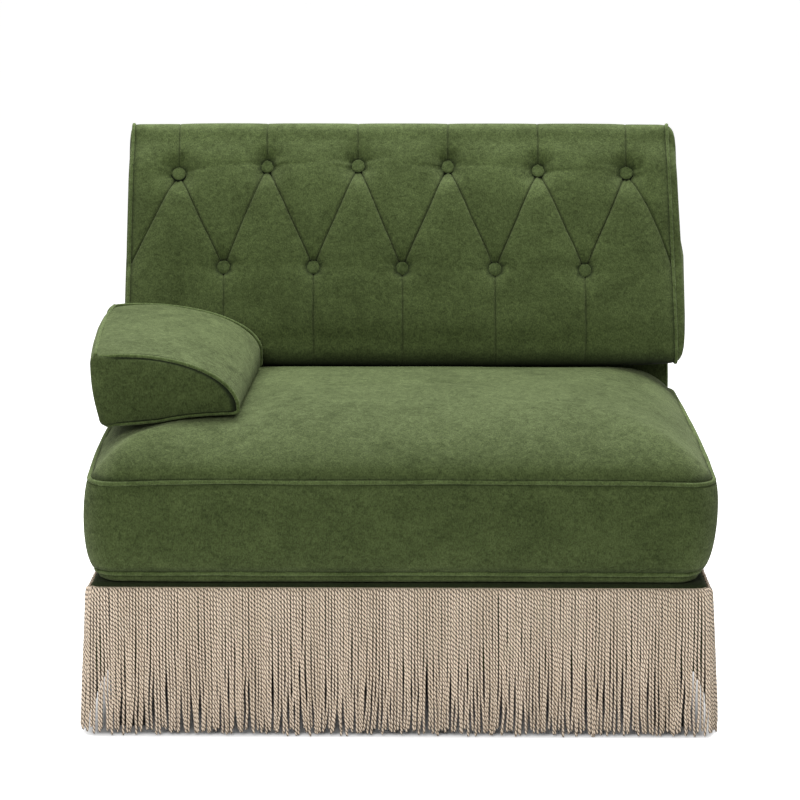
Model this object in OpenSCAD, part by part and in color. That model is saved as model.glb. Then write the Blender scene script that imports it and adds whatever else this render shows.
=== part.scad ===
// One-arm lounge seat with a fringed base, a raked back, a buttoned back cushion,
// a loose box cushion and a D-shaped arm bolster. Sizes are in millimetres.
// +Z is up, the front faces -Y, and the origin is on the floor at the centre of the footprint.

/* [Base] */
// Width of the base over its velvet
base_w = 900; // [820:10:1000]
// Depth of the base over its velvet
base_d = 790; // [740:10:880]
// Height of the base, from its underside to the deck
base_h = 131; // [120:1:150]
// Corner radius of the base in plan
base_corner_r = 18; // [8:1:24]
// Thickness of the velvet cover with its lining
cover_t = 2.5; // [1.5:0.5:3.5]
// Thickness of the frame timber
rail_t = 22; // [18:1:26]
// Thickness of the felt pad on the springs
deck_pad_t = 10; // [6:1:14]
// Thickness of the dust cover under the base
dust_t = 1; // [0.5:0.1:1.5]
// Length of the plywood gussets that tie the back posts to the side rails
gusset_l = 180; // [160:5:220]
// Thickness of the plywood gussets
gusset_t = 18; // [12:1:22]
// Leg length of the triangular corner blocks
block_leg = 130; // [120:5:160]
// Height of the corner blocks
block_h = 42; // [34:1:50]

/* [Springs] */
// Number of zigzag springs
spring_count = 6; // [4:1:8]
// Width of one zigzag spring
spring_w = 52; // [44:1:60]
// Bend radius of the spring wire, at its centre line
spring_bend_r = 15; // [12:0.5:17]
// Thickness of the spring wire
wire_d = 3.5; // [3:0.1:4]

/* [Feet] */
// Height of a foot block without its glide
foot_h = 90; // [70:1:120]
// Side of a foot block at its top
foot_top_w = 54; // [46:1:60]
// Side of a foot block at its bottom
foot_bottom_w = 44; // [36:1:54]
// Distance of the feet from the faces of the base
foot_inset = 24; // [22:1:40]
// Diameter of the foot bolts
bolt_d = 8; // [6:0.5:10]
// Diameter of the felt glides
glide_d = 30; // [24:1:34]
// Thickness of the felt glides
glide_t = 3; // [2:0.5:5]

/* [Fringe] */
// Thickness of the woven tape that carries the cords
tape_t = 2.5; // [1.5:0.5:3.5]
// Height of the woven tape
tape_h = 14; // [10:1:18]
// Thickness of the fringe cords
cord_t = 5; // [4:0.5:6]
// Distance from one fringe cord to the next
cord_pitch = 8.4; // [8:0.1:10]
// Outward lean of the hanging cords, in degrees
fringe_lean = 2.2; // [1.5:0.1:2.6]
// Gap between the cord ends and the floor
fringe_floor_gap = 2; // [1.5:0.5:8]

/* [Back frame] */
// Thickness of the back frame at the deck, over its velvet
back_t = 83; // [76:1:95]
// Height of the upright part of the back frame above the deck
back_upright_h = 185; // [170:1:200]
// Backward rake of the upper back frame and of the back cushion, in degrees
back_rake = 18; // [14:0.5:22]
// Length of the raked part of the back frame
back_panel_l = 330; // [300:5:360]
// Thickness of the raked part of the back frame
back_panel_t = 58; // [54:1:64]
// Thickness of the foam pad on the front of the back frame
back_pad_t = 10; // [6:1:12]
// Number of elastic straps in the back frame
strap_count = 7; // [5:1:9]
// Width of one elastic strap
strap_w = 60; // [50:1:70]

/* [Seat cushion] */
// Height of the seat cushion from the deck to its top piping
seat_box_h = 154; // [140:1:175]
// Rise of the seat's crown above the front of its top piping
seat_crown = 83; // [64:1:90]
// How much higher the top piping runs at the rear than at the front
seat_rear_rise = 16; // [6:1:20]
// Run over which most of the crown rises
seat_crown_run = 60; // [52:1:70]
// How far the top seam stands out past the base
seat_overhang = 1; // [0:0.5:4]
// Corner radius of the seat cushion in plan
seat_corner_r = 46; // [36:1:60]
// How far the boxing swells past the top seam
seat_swell = 9; // [5:0.5:11]
// Thickness of the seat piping
seat_piping_d = 7; // [5:0.5:8]
// Thickness of the cover and fibre wrap round the foam cores
wrap_t = 14; // [10:1:18]

/* [Back cushion] */
// Height of the back cushion along its rake
cushion_h = 408; // [386:2:430]
// Thickness of the back cushion at its side piping
cushion_t = 145; // [136:1:156]
// Rise of the cushion's bottom from its front to its rear, along the rake
cushion_rear_lift = 28; // [18:1:34]
// How much narrower than the base the cushion is at its top piping, on each side
cushion_top_in = 7; // [3:1:12]
// Swell of the front face between the pipings
cushion_swell = 12; // [8:1:16]
// Swell of the side panels
cushion_side_swell = 16; // [12:1:20]
// Number of buttons in the upper row
tuft_count = 6; // [4:1:7]
// Distance of the upper row of buttons from the cushion's top
tuft_top_in = 80; // [70:1:92]
// Distance between the two rows of buttons along the rake
tuft_row_gap = 172; // [150:1:180]
// Depth of the dimple under each button
tuft_depth = 16; // [10:1:20]
// Depth of the sewn pleats between the buttons
pleat_depth = 6; // [3:1:8]
// Diameter of the covered buttons
button_d = 23; // [18:1:26]
// Height of the covered buttons
button_h = 8; // [6:0.5:10]
// Thickness of the piping on the back cushion and the bolster
small_piping_d = 6; // [4:0.5:7]

/* [Arm bolster] */
// Width of the bolster from its flat side to its tip
bolster_w = 213; // [190:1:230]
// Length of the bolster
bolster_l = 428; // [400:2:436]
// Height of the bolster at its flat side
bolster_h = 107; // [95:1:120]
// Width of the bolster's level top before it curves down to the tip
bolster_top_w = 50; // [35:1:70]
// How far the bolster's flat side stands out past the base
bolster_overhang = 4; // [0:1:8]
// How far the foot of the flat side is drawn in
bolster_lean = 12; // [6:1:16]
// How far the outer side's foot hangs below the tip
bolster_hang = 27; // [18:1:32]
// Swell of the bolster's top between its end panels
bolster_swell = 9; // [4:1:12]
// Swell of the bolster's end panels
bolster_end_swell = 8; // [4:1:10]

/* [Hidden] */

velvet = [0.30, 0.36, 0.21];
velvet_dark = [0.22, 0.28, 0.15];
cord_colour = [0.68, 0.62, 0.54];
timber = [0.76, 0.62, 0.43];
plywood = [0.80, 0.69, 0.52];
steel = [0.62, 0.63, 0.65];
black_lacquer = [0.04, 0.04, 0.04];
felt_grey = [0.45, 0.45, 0.45];
foam_cream = [0.92, 0.88, 0.74];
strap_black = [0.12, 0.12, 0.13];

overrun = 1;            // extra length of a cut past the face it opens
soft_gap = 0.4;         // clearance between a soft piece and what it rests on
lift_gap = 0.5;         // clearance between a loose cushion and the frame it slides along
layer_gap = 0.1;        // clearance between the layers of the raked back
bore_gap = 0.1;         // radial clearance of a bolt or tie in its hole
bore_fn = 32;           // sides of round holes and pins
corner_steps = 6;       // points on a rounded corner
seam_gap = 0.2;         // clearance between a piping and the seam that holds it
side_lean = 45;         // lean of a piping between two panels that meet at a right angle

// Levels and lines of the base, measured from its front face and from the floor
base_z = glide_t + foot_h + dust_t;
deck_z = base_z + base_h;
frame_z = base_z + cover_t;
spring_clearance = 1;
spring_space = wire_d + spring_clearance;
side_rail_top_z = deck_z - cover_t - deck_pad_t;
rail_top_z = side_rail_top_z - spring_space;
half_w = base_w / 2;
inner_half_w = half_w - cover_t;
base_front_r = min(base_corner_r, rail_t + cover_t);
base_rear_r = min(base_corner_r, 2 * cover_t);
post_inner_x = inner_half_w - rail_t;
back_front_y = base_d - back_t;
back_bend_z = deck_z + back_upright_h;

// The tape lies just under the deck, and the cords hang from it and lean outwards
tape_drop = 1;
cord_drop = 4;
fringe_header_h = 8;
tape_top_z = deck_z - tape_drop;
fringe_top_z = tape_top_z - cord_drop;
fringe_drop = (fringe_top_z - fringe_floor_gap) / cos(fringe_lean);
fringe_foot_out = tape_t + cord_t * cos(fringe_lean) + fringe_drop * sin(fringe_lean);

// The rearmost point is the rounded top corner of the raked back
back_edge_r = 12;
back_rear_y = back_front_y + back_panel_l * sin(back_rake) + back_panel_t * cos(back_rake)
    - back_edge_r * (sin(back_rake) + cos(back_rake) - 1);
overall_d = back_rear_y + fringe_foot_out;
front_y = fringe_foot_out - overall_d / 2;

module from_front() { translate([0, front_y, 0]) children(); }
module mirrored(side) { mirror([side < 0 ? 1 : 0, 0, 0]) children(); }

function mix(a, b, t) = a + (b - a) * t;
function heading(angle) = [cos(angle), sin(angle)];
function clamp(t) = max(0, min(1, t));
function centre_of(points) = [for (k = [0:len(points[0]) - 1])
    let (values = [for (p = points) p[k]]) (min(values) + max(values)) / 2];

// A quarter turn about (x, y), or that one point when there is no radius
function arc(x, y, r, turn) = r <= 0 ? [[x, y]] : [for (step = [0:corner_steps])
    let (angle = turn + 90 * step / corner_steps) [x + r * cos(angle), y + r * sin(angle)]];

// Outline of a rectangle about x = 0, with one radius at its rear corners and one at its front corners
function plan(x, y0, y1, rear_r, front_r) = concat(
    arc(x - rear_r, y1 - rear_r, rear_r, 0), arc(rear_r - x, y1 - rear_r, rear_r, 90),
    arc(front_r - x, y0 + front_r, front_r, 180), arc(x - front_r, y0 + front_r, front_r, 270));

// The base's own outline, drawn in by an inset or grown by a negative one
function base_plan(inset, y1, rear_r) =
    plan(half_w - inset, inset, y1, rear_r, max(0, base_front_r - inset));

module slab(outline, z0, z1) { translate([0, 0, z0]) linear_extrude(z1 - z0) polygon(outline); }

module block(x0, y0, z0, x1, y1, z1) { translate([x0, y0, z0]) cube([x1 - x0, y1 - y0, z1 - z0]); }

// A closed solid through a stack of rings, each anticlockwise seen from the end of the stack.
// The spans in flips are split along their other diagonal.
module ring_solid(rings, flips = []) {
    count = len(rings[0]);
    last = len(rings) - 1;
    points = concat([for (ring = rings) each ring], [centre_of(rings[0]), centre_of(rings[last])]);
    walls = [for (k = [0:last - 1]) for (i = [0:count - 1])
        let (j = (i + 1) % count, a = k * count + i, b = k * count + j, c = b + count, d = a + count)
            each (len(search(k, flips)) > 0 ? [[a, d, b], [b, d, c]] : [[a, c, b], [a, d, c]])];
    caps = [for (i = [0:count - 1])
        let (j = (i + 1) % count)
            each [[i, j, len(points) - 2], [last * count + j, last * count + i, len(points) - 1]]];
    polyhedron(points = points, faces = concat(walls, caps));
}

// Piping: a closed tube beside a seam that runs anticlockwise about its normal, on the side of the
// seam that leans from straight outwards towards the normal
module piping(seam, normal, d, lean) {
    sides = 6;
    count = len(seam);
    points = [for (i = [0:count - 1])
        let (ahead = seam[(i + 1) % count] - seam[(i + count - 1) % count],
             out = cross(ahead / norm(ahead), normal),
             middle = seam[i] + (d / 2 + seam_gap) * (cos(lean) * out + sin(lean) * normal))
            for (s = [0:sides - 1]) let (turn = 360 * s / sides + lean)
                middle + d / 2 * (cos(turn) * out + sin(turn) * normal)];
    faces = [for (i = [0:count - 1]) for (s = [0:sides - 1])
        let (j = (i + 1) % count, t = (s + 1) % sides, a = i * sides, b = j * sides)
            each [[a + s, a + t, b + t], [a + s, b + t, b + s]]];
    polyhedron(points = points, faces = faces);
}

// Base frame

block_z = base_z;
foot_x = half_w - foot_inset - foot_top_w / 2;
foot_front_y = foot_inset + foot_top_w / 2;
foot_rear_y = base_d - foot_front_y;
rear_rail_y = base_d - cover_t - rail_t;
post_front_y = back_front_y + cover_t + back_pad_t;
gusset_x = post_inner_x - gusset_t;
gusset_y = rear_rail_y - gusset_l;
gusset_bolt_d = 8;
gusset_head_d = 16;
gusset_head_h = 4;
bolt_row_shares = [0.25, 0.75];
gusset_bolt_z = [for (share = bolt_row_shares) mix(block_z + block_h, rail_top_z, share)];
post_bolt_y = mix(post_front_y, rear_rail_y, 0.5);
rail_bolt_y = mix(gusset_y, post_front_y, 0.3);
nut_d = 12;
nut_flange_d = 16;
nut_flange_t = 2;
nut_depth = 10;
bolt_in_foot = 50;
bolt_above_block = 8;

module bolt_hole(x, y, z0, z1, d) {
    translate([x, y, z0]) cylinder(d = d + 2 * bore_gap, h = z1 - z0, $fn = bore_fn);
}

module side_bolt_holes() {
    h = inner_half_w - gusset_x + 2 * overrun;
    for (y = [post_bolt_y, rail_bolt_y]) for (z = gusset_bolt_z)
        translate([gusset_x - overrun, y, z]) rotate([0, 90, 0])
            cylinder(d = gusset_bolt_d + 2 * bore_gap, h = h, $fn = bore_fn);
}

module front_rail() {
    color(timber) from_front() slab(base_plan(cover_t, cover_t + rail_t, 0), frame_z, rail_top_z);
}

module rear_rail() {
    color(timber) from_front()
        block(-post_inner_x, rear_rail_y, frame_z, post_inner_x, rear_rail_y + rail_t, rail_top_z);
}

module side_rail(side) {
    color(timber) from_front() mirrored(side) difference() {
        block(post_inner_x, cover_t + rail_t, frame_z, inner_half_w, post_front_y, side_rail_top_z);
        side_bolt_holes();
    }
}

module gusset(side) {
    color(plywood) from_front() mirrored(side) difference() {
        block(gusset_x, gusset_y, frame_z, post_inner_x, rear_rail_y, rail_top_z);
        side_bolt_holes();
    }
}

module corner_block(x, y, foot_y, y_side) {
    difference() {
        translate([x, y, block_z]) mirror([0, y_side < 0 ? 1 : 0, 0]) linear_extrude(block_h)
            polygon([[0, 0], [0, block_leg], [-block_leg, 0]]);
        bolt_hole(foot_x, foot_y, block_z - overrun, block_z + block_h + overrun, bolt_d);
        bolt_hole(foot_x, foot_y, block_z + block_h - nut_depth, block_z + block_h + overrun, nut_d);
    }
}

module corner_blocks() {
    color(timber) from_front() for (side = [-1, 1]) mirrored(side) {
        corner_block(post_inner_x, cover_t + rail_t, foot_front_y, 1);
        corner_block(gusset_x, rear_rail_y, foot_rear_y, -1);
    }
}

module gusset_bolts() {
    color(steel) from_front() for (side = [-1, 1]) mirrored(side)
        for (y = [post_bolt_y, rail_bolt_y]) for (z = gusset_bolt_z)
            translate([gusset_x, y, z]) rotate([0, 90, 0]) {
                cylinder(d = gusset_bolt_d, h = inner_half_w - gusset_x - bore_gap, $fn = bore_fn);
                translate([0, 0, -gusset_head_h])
                    cylinder(d = gusset_head_d, h = gusset_head_h, $fn = bore_fn);
            }
}

// Springs: each is a zigzag of half-turn bends, alternately to the right and to the left

clip_w = 14;
clip_l = 18;
clip_t = 0.8;
spring_bend_steps = 3;
spring_first_y = cover_t + rail_t / 2;
spring_last_y = rear_rail_y + rail_t / 2;
spring_bends = floor((spring_last_y - spring_first_y) / (2 * spring_bend_r));
spring_start_y = mix(spring_first_y, spring_last_y - 2 * spring_bend_r * spring_bends, 0.5);
spring_pitch = (2 * gusset_x - spring_w) / spring_count;
spring_z = rail_top_z;

function spring_edge(side) = [for (k = [0:spring_bends - 1])
    let (turn = k % 2 == 0 ? 1 : -1, r = spring_bend_r + side * turn * wire_d / 2,
         y = spring_start_y + spring_bend_r * (2 * k + 1))
        for (step = [0:spring_bend_steps])
            let (angle = -90 + 180 * step / spring_bend_steps)
                [turn * (spring_w / 2 - spring_bend_r + r * cos(angle)), y + r * sin(angle)]];

function reversed(list) = [for (i = [len(list) - 1:-1:0]) list[i]];
function spring_x(i) = (i - (spring_count - 1) / 2) * spring_pitch;

module seat_springs() {
    color(steel) from_front() for (i = [0:spring_count - 1])
        translate([spring_x(i), 0, spring_z]) linear_extrude(wire_d)
            polygon(concat(spring_edge(-1), reversed(spring_edge(1))));
}

// A clip is a strip that is nailed to the rail and folded over the last leg of a spring
module spring_clip(y, y_side) {
    near = wire_d / 2;
    far = near + clip_t;
    top = wire_d + clip_t;
    for (x = [-1, 1])
        translate([x * (spring_w / 2 - spring_bend_r - clip_w / 2), y, spring_z])
            mirror([0, y_side < 0 ? 1 : 0, 0]) {
                block(-clip_w / 2, -far - clip_l / 2, 0, clip_w / 2, -near, clip_t);
                block(-clip_w / 2, -far, 0, clip_w / 2, -near, top);
                block(-clip_w / 2, -far, wire_d, clip_w / 2, far, top);
            }
}

module spring_clips() {
    color(steel) from_front() for (i = [0:spring_count - 1]) translate([spring_x(i), 0, 0]) {
        spring_clip(spring_start_y, 1);
        spring_clip(spring_start_y + 2 * spring_bend_r * spring_bends, -1);
    }
}

module deck_pad() {
    color(felt_grey) from_front()
        slab(base_plan(cover_t, back_front_y + cover_t, 0), side_rail_top_z, deck_z - cover_t);
}

// The base cover wraps the frame and turns in under the rails; the back stands in its rear cut-out
module base_cover() {
    turn_in = cover_t + rail_t;
    color(velvet) from_front() difference() {
        slab(base_plan(0, base_d, base_rear_r), base_z, deck_z);
        slab(base_plan(cover_t, base_d - cover_t, 0), frame_z, deck_z - cover_t);
        block(turn_in - half_w, turn_in, base_z - overrun,
            half_w - turn_in, base_d - turn_in, frame_z + overrun);
        block(-inner_half_w, back_front_y + cover_t, deck_z - cover_t - overrun,
            inner_half_w, base_d - cover_t, deck_z + overrun);
    }
}

module dust_cover() {
    dust_in = 10;
    dust_hole_d = 12;
    color(strap_black) from_front() difference() {
        slab(base_plan(dust_in, base_d - dust_in, 0), base_z - dust_t, base_z);
        for (x = [-foot_x, foot_x]) for (y = [foot_front_y, foot_rear_y])
            bolt_hole(x, y, base_z - dust_t - overrun, base_z + overrun, dust_hole_d);
    }
}

// Feet

foot_top_z = base_z - dust_t;

foot_plate = 1;

module square_plate(w, z) { translate([-w / 2, -w / 2, z]) cube([w, w, foot_plate]); }

module foot(x, y) {
    color(black_lacquer) from_front() translate([x, y, 0]) difference() {
        hull() {
            square_plate(foot_bottom_w, glide_t);
            square_plate(foot_top_w, foot_top_z - foot_plate);
        }
        bolt_hole(0, 0, foot_top_z - bolt_in_foot, foot_top_z + overrun, bolt_d);
    }
}

module at_feet() {
    from_front() for (x = [-foot_x, foot_x]) for (y = [foot_front_y, foot_rear_y])
        translate([x, y, 0]) children();
}

module foot_bolts() {
    low = foot_top_z - bolt_in_foot;
    color(steel) at_feet() translate([0, 0, low])
        cylinder(d = bolt_d, h = block_z + block_h + bolt_above_block - low, $fn = bore_fn);
}

module foot_nuts() {
    color(steel) at_feet() translate([0, 0, block_z + block_h]) difference() {
        union() {
            translate([0, 0, -nut_depth]) cylinder(d = nut_d, h = nut_depth + nut_flange_t, $fn = bore_fn);
            cylinder(d = nut_flange_d, h = nut_flange_t, $fn = bore_fn);
        }
        translate([0, 0, -nut_depth - overrun])
            cylinder(d = bolt_d + 2 * bore_gap, h = nut_depth + nut_flange_t + 2 * overrun, $fn = bore_fn);
    }
}

module foot_glides() { color(felt_grey) at_feet() cylinder(d = glide_d, h = glide_t, $fn = bore_fn); }

// Back frame: a side profile that stands upright above the deck and then rakes back

strap_t = 2;
board_t = 3;
back_rail_h = 60;

// The point at a distance along the rake from the bend and a depth behind the front face
function back_at(along, depth) = [
    back_front_y + along * sin(back_rake) + depth * cos(back_rake),
    back_bend_z + along * cos(back_rake) - depth * sin(back_rake)
];

function front_line(depth, z0, top_in) = [
    [back_front_y + depth, z0],
    [back_front_y + depth, back_bend_z - depth * tan(back_rake / 2)],
    back_at(back_panel_l - top_in, depth)
];

function rear_line(depth, z0, top_in) =
    let (behind = back_panel_t - depth,
         along = (back_t - depth - behind * cos(back_rake)) / sin(back_rake))
    [back_at(back_panel_l - top_in, behind), back_at(along, behind), [base_d - depth, z0]];

function back_profile(front_in, rear_in, top_in, z0) =
    concat(front_line(front_in, z0, top_in), rear_line(rear_in, z0, top_in));

// The same profile with its two top corners rounded
function round_back_profile(inset, z0) =
    let (r = back_edge_r - inset, front = front_line(inset, z0, inset), rear = rear_line(inset, z0, inset),
         along = back_panel_l - inset - r)
    concat([front[0], front[1]],
        [for (step = [0:corner_steps]) let (angle = 90 * step / corner_steps)
            back_at(along + r * sin(angle), inset + r - r * cos(angle))],
        [for (step = [0:corner_steps]) let (angle = 90 * step / corner_steps)
            back_at(along + r * cos(angle), back_panel_t - inset - r + r * sin(angle))],
        [rear[1], rear[2]]);

// Extrudes a (y, z) outline from x0 to x1
module across(x0, x1, outline) {
    from_front() translate([x0, 0, 0]) rotate([90, 0, 90]) linear_extrude(x1 - x0) polygon(outline);
}

module back_post(side) {
    color(timber) mirrored(side) difference() {
        intersection() {
            across(post_inner_x, inner_half_w,
                back_profile(cover_t + back_pad_t, cover_t + board_t, 0, frame_z));
            across(post_inner_x - overrun, inner_half_w + overrun,
                round_back_profile(cover_t + layer_gap, frame_z - overrun));
        }
        from_front() side_bolt_holes();
    }
}

function raked_box(low, high, near, far) =
    [back_at(low, near), back_at(high, near), back_at(high, far), back_at(low, far)];

module raked_rail(along) {
    depth = cover_t + back_pad_t + strap_t;
    across(-post_inner_x, post_inner_x, raked_box(along, along + back_rail_h, depth, depth + rail_t));
}

middle_rail_along = 12;
top_rail_along = back_panel_l - cover_t - layer_gap - back_rail_h;

module back_lower_rail() {
    y = post_front_y + strap_t;
    color(timber) from_front()
        block(-post_inner_x, y, deck_z, post_inner_x, y + rail_t, deck_z + back_rail_h);
}

module back_middle_rail() { color(timber) raked_rail(middle_rail_along); }

module back_top_rail() { color(timber) raked_rail(top_rail_along); }

module back_straps() {
    depth = cover_t + back_pad_t;
    low = middle_rail_along;
    high = back_panel_l - back_edge_r;
    pitch = (2 * post_inner_x - strap_w) / (strap_count - 1);
    color(strap_black) for (i = [0:strap_count - 1])
        let (x = -post_inner_x + i * pitch)
            across(x, x + strap_w, raked_box(low, high, depth, depth + strap_t - layer_gap));
}

module back_pad() {
    near = cover_t + layer_gap;
    color(foam_cream) across(-inner_half_w, inner_half_w, concat(front_line(near, deck_z, back_edge_r),
        reversed(front_line(cover_t + back_pad_t - layer_gap, deck_z, back_edge_r))));
}

module rear_board() {
    near = cover_t + layer_gap;
    color(plywood) across(-inner_half_w, inner_half_w, concat(rear_line(near, rail_top_z, back_edge_r),
        reversed(rear_line(cover_t + board_t - layer_gap, rail_top_z, back_edge_r))));
}

module back_cover() {
    color(velvet) difference() {
        across(-half_w, half_w, round_back_profile(0, deck_z));
        across(-inner_half_w, inner_half_w, round_back_profile(cover_t, deck_z - overrun));
    }
}

// Fringe: a comb of hanging cords under a header, four of them round the base

cord_share = 0.8;       // part of the pitch that a cord fills
cord_sway = 0.6;        // sideways wander of a cord's end
cord_trim = 3;          // variation in the cords' length

// Outline of one comb, with its header at the top; the cords spread from top_l to foot_l
function comb(top_l, foot_l, seed) =
    let (count = floor(top_l / cord_pitch), pitch = top_l / count, half = pitch * cord_share / 2,
         sway = rands(-cord_sway, cord_sway, count, seed), trim = rands(0, cord_trim, count, seed + 1))
    concat([[1, -fringe_header_h], [1, 0], [-1, 0], [-1, -fringe_header_h]] * [[top_l / 2, 0], [0, 1]],
        [for (i = [0:count - 1])
            let (x = (i + 1 / 2) * pitch - top_l / 2, foot = x * foot_l / top_l + sway[i],
                 z = (i == 0 || i == count - 1 ? 0 : trim[i]) - fringe_drop, z0 = -fringe_header_h)
                each [[x - half, z0], [foot - half, z], [foot + half, z], [x + half, z0]]]);

module hung_comb(top_l, foot_l, seed) {
    color(cord_colour) rotate([-fringe_lean, 0, 0]) rotate([90, 0, 0])
        linear_extrude(cord_t) polygon(comb(top_l, foot_l, seed));
}

front_comb_l = base_w + 2 * (tape_t + cord_t);
front_comb_foot_l = base_w + 2 * fringe_foot_out;
side_comb_l = base_d;
side_comb_foot_l = base_d + 2 * (fringe_drop * sin(fringe_lean) - tape_t);
front_seed = 3;
rear_seed = 11;
left_seed = 19;
right_seed = 27;

module front_fringe() {
    from_front() translate([0, -tape_t, fringe_top_z])
        hung_comb(front_comb_l, front_comb_foot_l, front_seed);
}

module rear_fringe() {
    from_front() translate([0, base_d + tape_t, fringe_top_z]) rotate([0, 0, 180])
        hung_comb(front_comb_l, front_comb_foot_l, rear_seed);
}

module left_fringe() {
    from_front() translate([-half_w - tape_t, base_d / 2, fringe_top_z]) rotate([0, 0, -90])
        hung_comb(side_comb_l, side_comb_foot_l, left_seed);
}

module right_fringe() {
    from_front() translate([half_w + tape_t, base_d / 2, fringe_top_z]) rotate([0, 0, 90])
        hung_comb(side_comb_l, side_comb_foot_l, right_seed);
}

module fringe_tape() {
    z0 = tape_top_z - tape_h;
    color(cord_colour) from_front() difference() {
        slab(base_plan(-tape_t, base_d + tape_t, base_rear_r + tape_t), z0, tape_top_z);
        slab(base_plan(0, base_d, base_rear_r), z0 - overrun, tape_top_z + overrun);
    }
}

// Seat cushion: rings from the deck up the boxing to the top piping, then inwards over the crown

seat_z = deck_z + soft_gap;
seat_pipe_z = deck_z + seat_box_h;
seat_pipe_x = half_w + seat_overhang;
seat_pipe_y0 = -seat_overhang;
seat_pipe_y1 = back_front_y - lift_gap - max(seat_swell, seat_piping_d + seam_gap);
seat_belly = 17;        // height of the lower piping above the deck
seat_foot_in = 45;      // inset of the flat underside
seat_low_pipe_in = 6;   // inset of the lower piping from the upper one
seat_min_r = 6;         // corner radius of the innermost rings
crown_insets = [12, 28, 50, 80, 120, 175, 250, 330];
plan_steps = 6;         // points on a corner of a ring
plan_runs = 7;          // spans of a ring's straight side

function seat_rise(inset) = seat_crown * (1 - exp(-inset / seat_crown_run));

// Share of the piping's rear rise that is left at an inset, and the highest surface there
function rise_left(inset) = exp(-inset / seat_crown_run);
function seat_high(inset) = seat_pipe_z + seat_rise(inset) + seat_rear_rise * rise_left(inset);

// One ring of the seat cushion, with spans along its straight sides; tilt is its share of the rear rise
function seat_ring(inset, z, tilt, steps, runs) =
    let (r = max(seat_min_r, seat_corner_r - inset), x = seat_pipe_x - inset,
         y0 = seat_pipe_y0 + inset, y1 = seat_pipe_y1 - inset,
         corners = [[x - r, y1 - r], [r - x, y1 - r], [r - x, y0 + r], [x - r, y0 + r]])
    [for (k = [0:3])
        let (at = corners[k], next = corners[(k + 1) % 4], turn = 90 * k,
             bend = [for (step = [0:steps]) at + r * heading(turn + 90 * step / steps)],
             side = [for (i = [1:runs - 1]) mix(at, next, i / runs) + r * heading(turn + 90)])
            for (p = concat(bend, side))
                [p[0], front_y + p[1],
                 z + tilt * seat_rear_rise * clamp((p[1] - seat_pipe_y0) / (seat_pipe_y1 - seat_pipe_y0))]];

// The rounded foot below the lower piping, and the boxing above it: inset and height as shares
foot_shares = [[1, 0], [0.45, 0.16], [0.06, 0.55], [0, 1]];
boxing_shares = [[0.4, 0.15], [1, 0.4], [1, 0.6], [0.5, 0.85]];
low_pipe_z = deck_z + seat_belly;
top_seam_lean = 25;     // the crown rises steeply from its seam, so the piping lies low on it
low_seam_lean = -20;

module seat_form() {
    ring_solid(concat(
        [for (level = foot_shares) seat_ring(mix(seat_low_pipe_in, seat_foot_in, level[0]),
            mix(seat_z, low_pipe_z, level[1]), 0, plan_steps, plan_runs)],
        [for (level = boxing_shares) seat_ring(-seat_swell * level[0],
            mix(low_pipe_z, seat_pipe_z, level[1]), level[1], plan_steps, plan_runs)],
        [seat_ring(0, seat_pipe_z, 1, plan_steps, plan_runs)],
        [for (inset = crown_insets)
            seat_ring(inset, seat_pipe_z + seat_rise(inset), rise_left(inset), plan_steps, plan_runs)]));
}

// The foam core follows the cushion, one wrap inside it
core_steps = 3;
core_runs = 3;
core_insets = [30, 70, 130, 230];

module seat_core(gap) {
    inset = wrap_t + gap;
    levels = concat(
        [[seat_foot_in + gap, seat_z + inset], [inset, low_pipe_z + inset], [inset, seat_pipe_z - gap]],
        [for (more = core_insets) [inset + more, seat_pipe_z + seat_rise(more) - wrap_t / 2 - gap]]);
    ring_solid([for (level = levels) seat_ring(level[0], level[1], 0, core_steps, core_runs)]);
}

// A zip closes the rear boxing, in a channel that keeps its slider clear of the back frame
zip_l = 600;
zip_tape_h = 24;
zip_tape_t = 1.5;
zip_teeth_h = 5;
zip_teeth_t = 1.2;
zip_channel = 8;
slider_l = 12;
slider_h = 9;
slider_t = 3;
tab_l = 18;
tab_h = 6;
tab_t = 1;
zip_z = mix(low_pipe_z, seat_pipe_z, 1 / 2);
zip_y = seat_pipe_y1 + seat_swell - zip_channel;

module seat_cover() {
    color(velvet) difference() {
        seat_form();
        seat_core(0);
        from_front() at_zip(2 * zip_channel, zip_tape_h);
    }
}

module seat_foam() { color(foam_cream) seat_core(soft_gap); }

module at_zip(t, h) { block(-zip_l / 2, zip_y, zip_z - h / 2, zip_l / 2, zip_y + t, zip_z + h / 2); }

module zip_tape() {
    color(velvet_dark) from_front() {
        at_zip(zip_tape_t, zip_tape_h);
        at_zip(zip_tape_t + zip_teeth_t, zip_teeth_h);
    }
}

module zip_slider() {
    y = zip_y + zip_tape_t + zip_teeth_t + soft_gap;
    x = zip_l / 2 - slider_l;
    color(steel) from_front() translate([x, y, zip_z]) {
        block(-slider_l / 2, 0, -slider_h / 2, slider_l / 2, slider_t, slider_h / 2);
        block(-slider_l / 2 - tab_l, tab_t, -tab_h / 2, 0, 2 * tab_t, tab_h / 2);
    }
}

module seat_top_piping() {
    color(velvet)
        piping(seat_ring(0, seat_pipe_z, 1, plan_steps, plan_runs), [0, 0, 1], seat_piping_d, top_seam_lean);
}

module seat_bottom_piping() {
    color(velvet) piping(seat_ring(seat_low_pipe_in, low_pipe_z, 0, plan_steps, plan_runs),
        [0, 0, 1], seat_piping_d, low_seam_lean);
}

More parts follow.
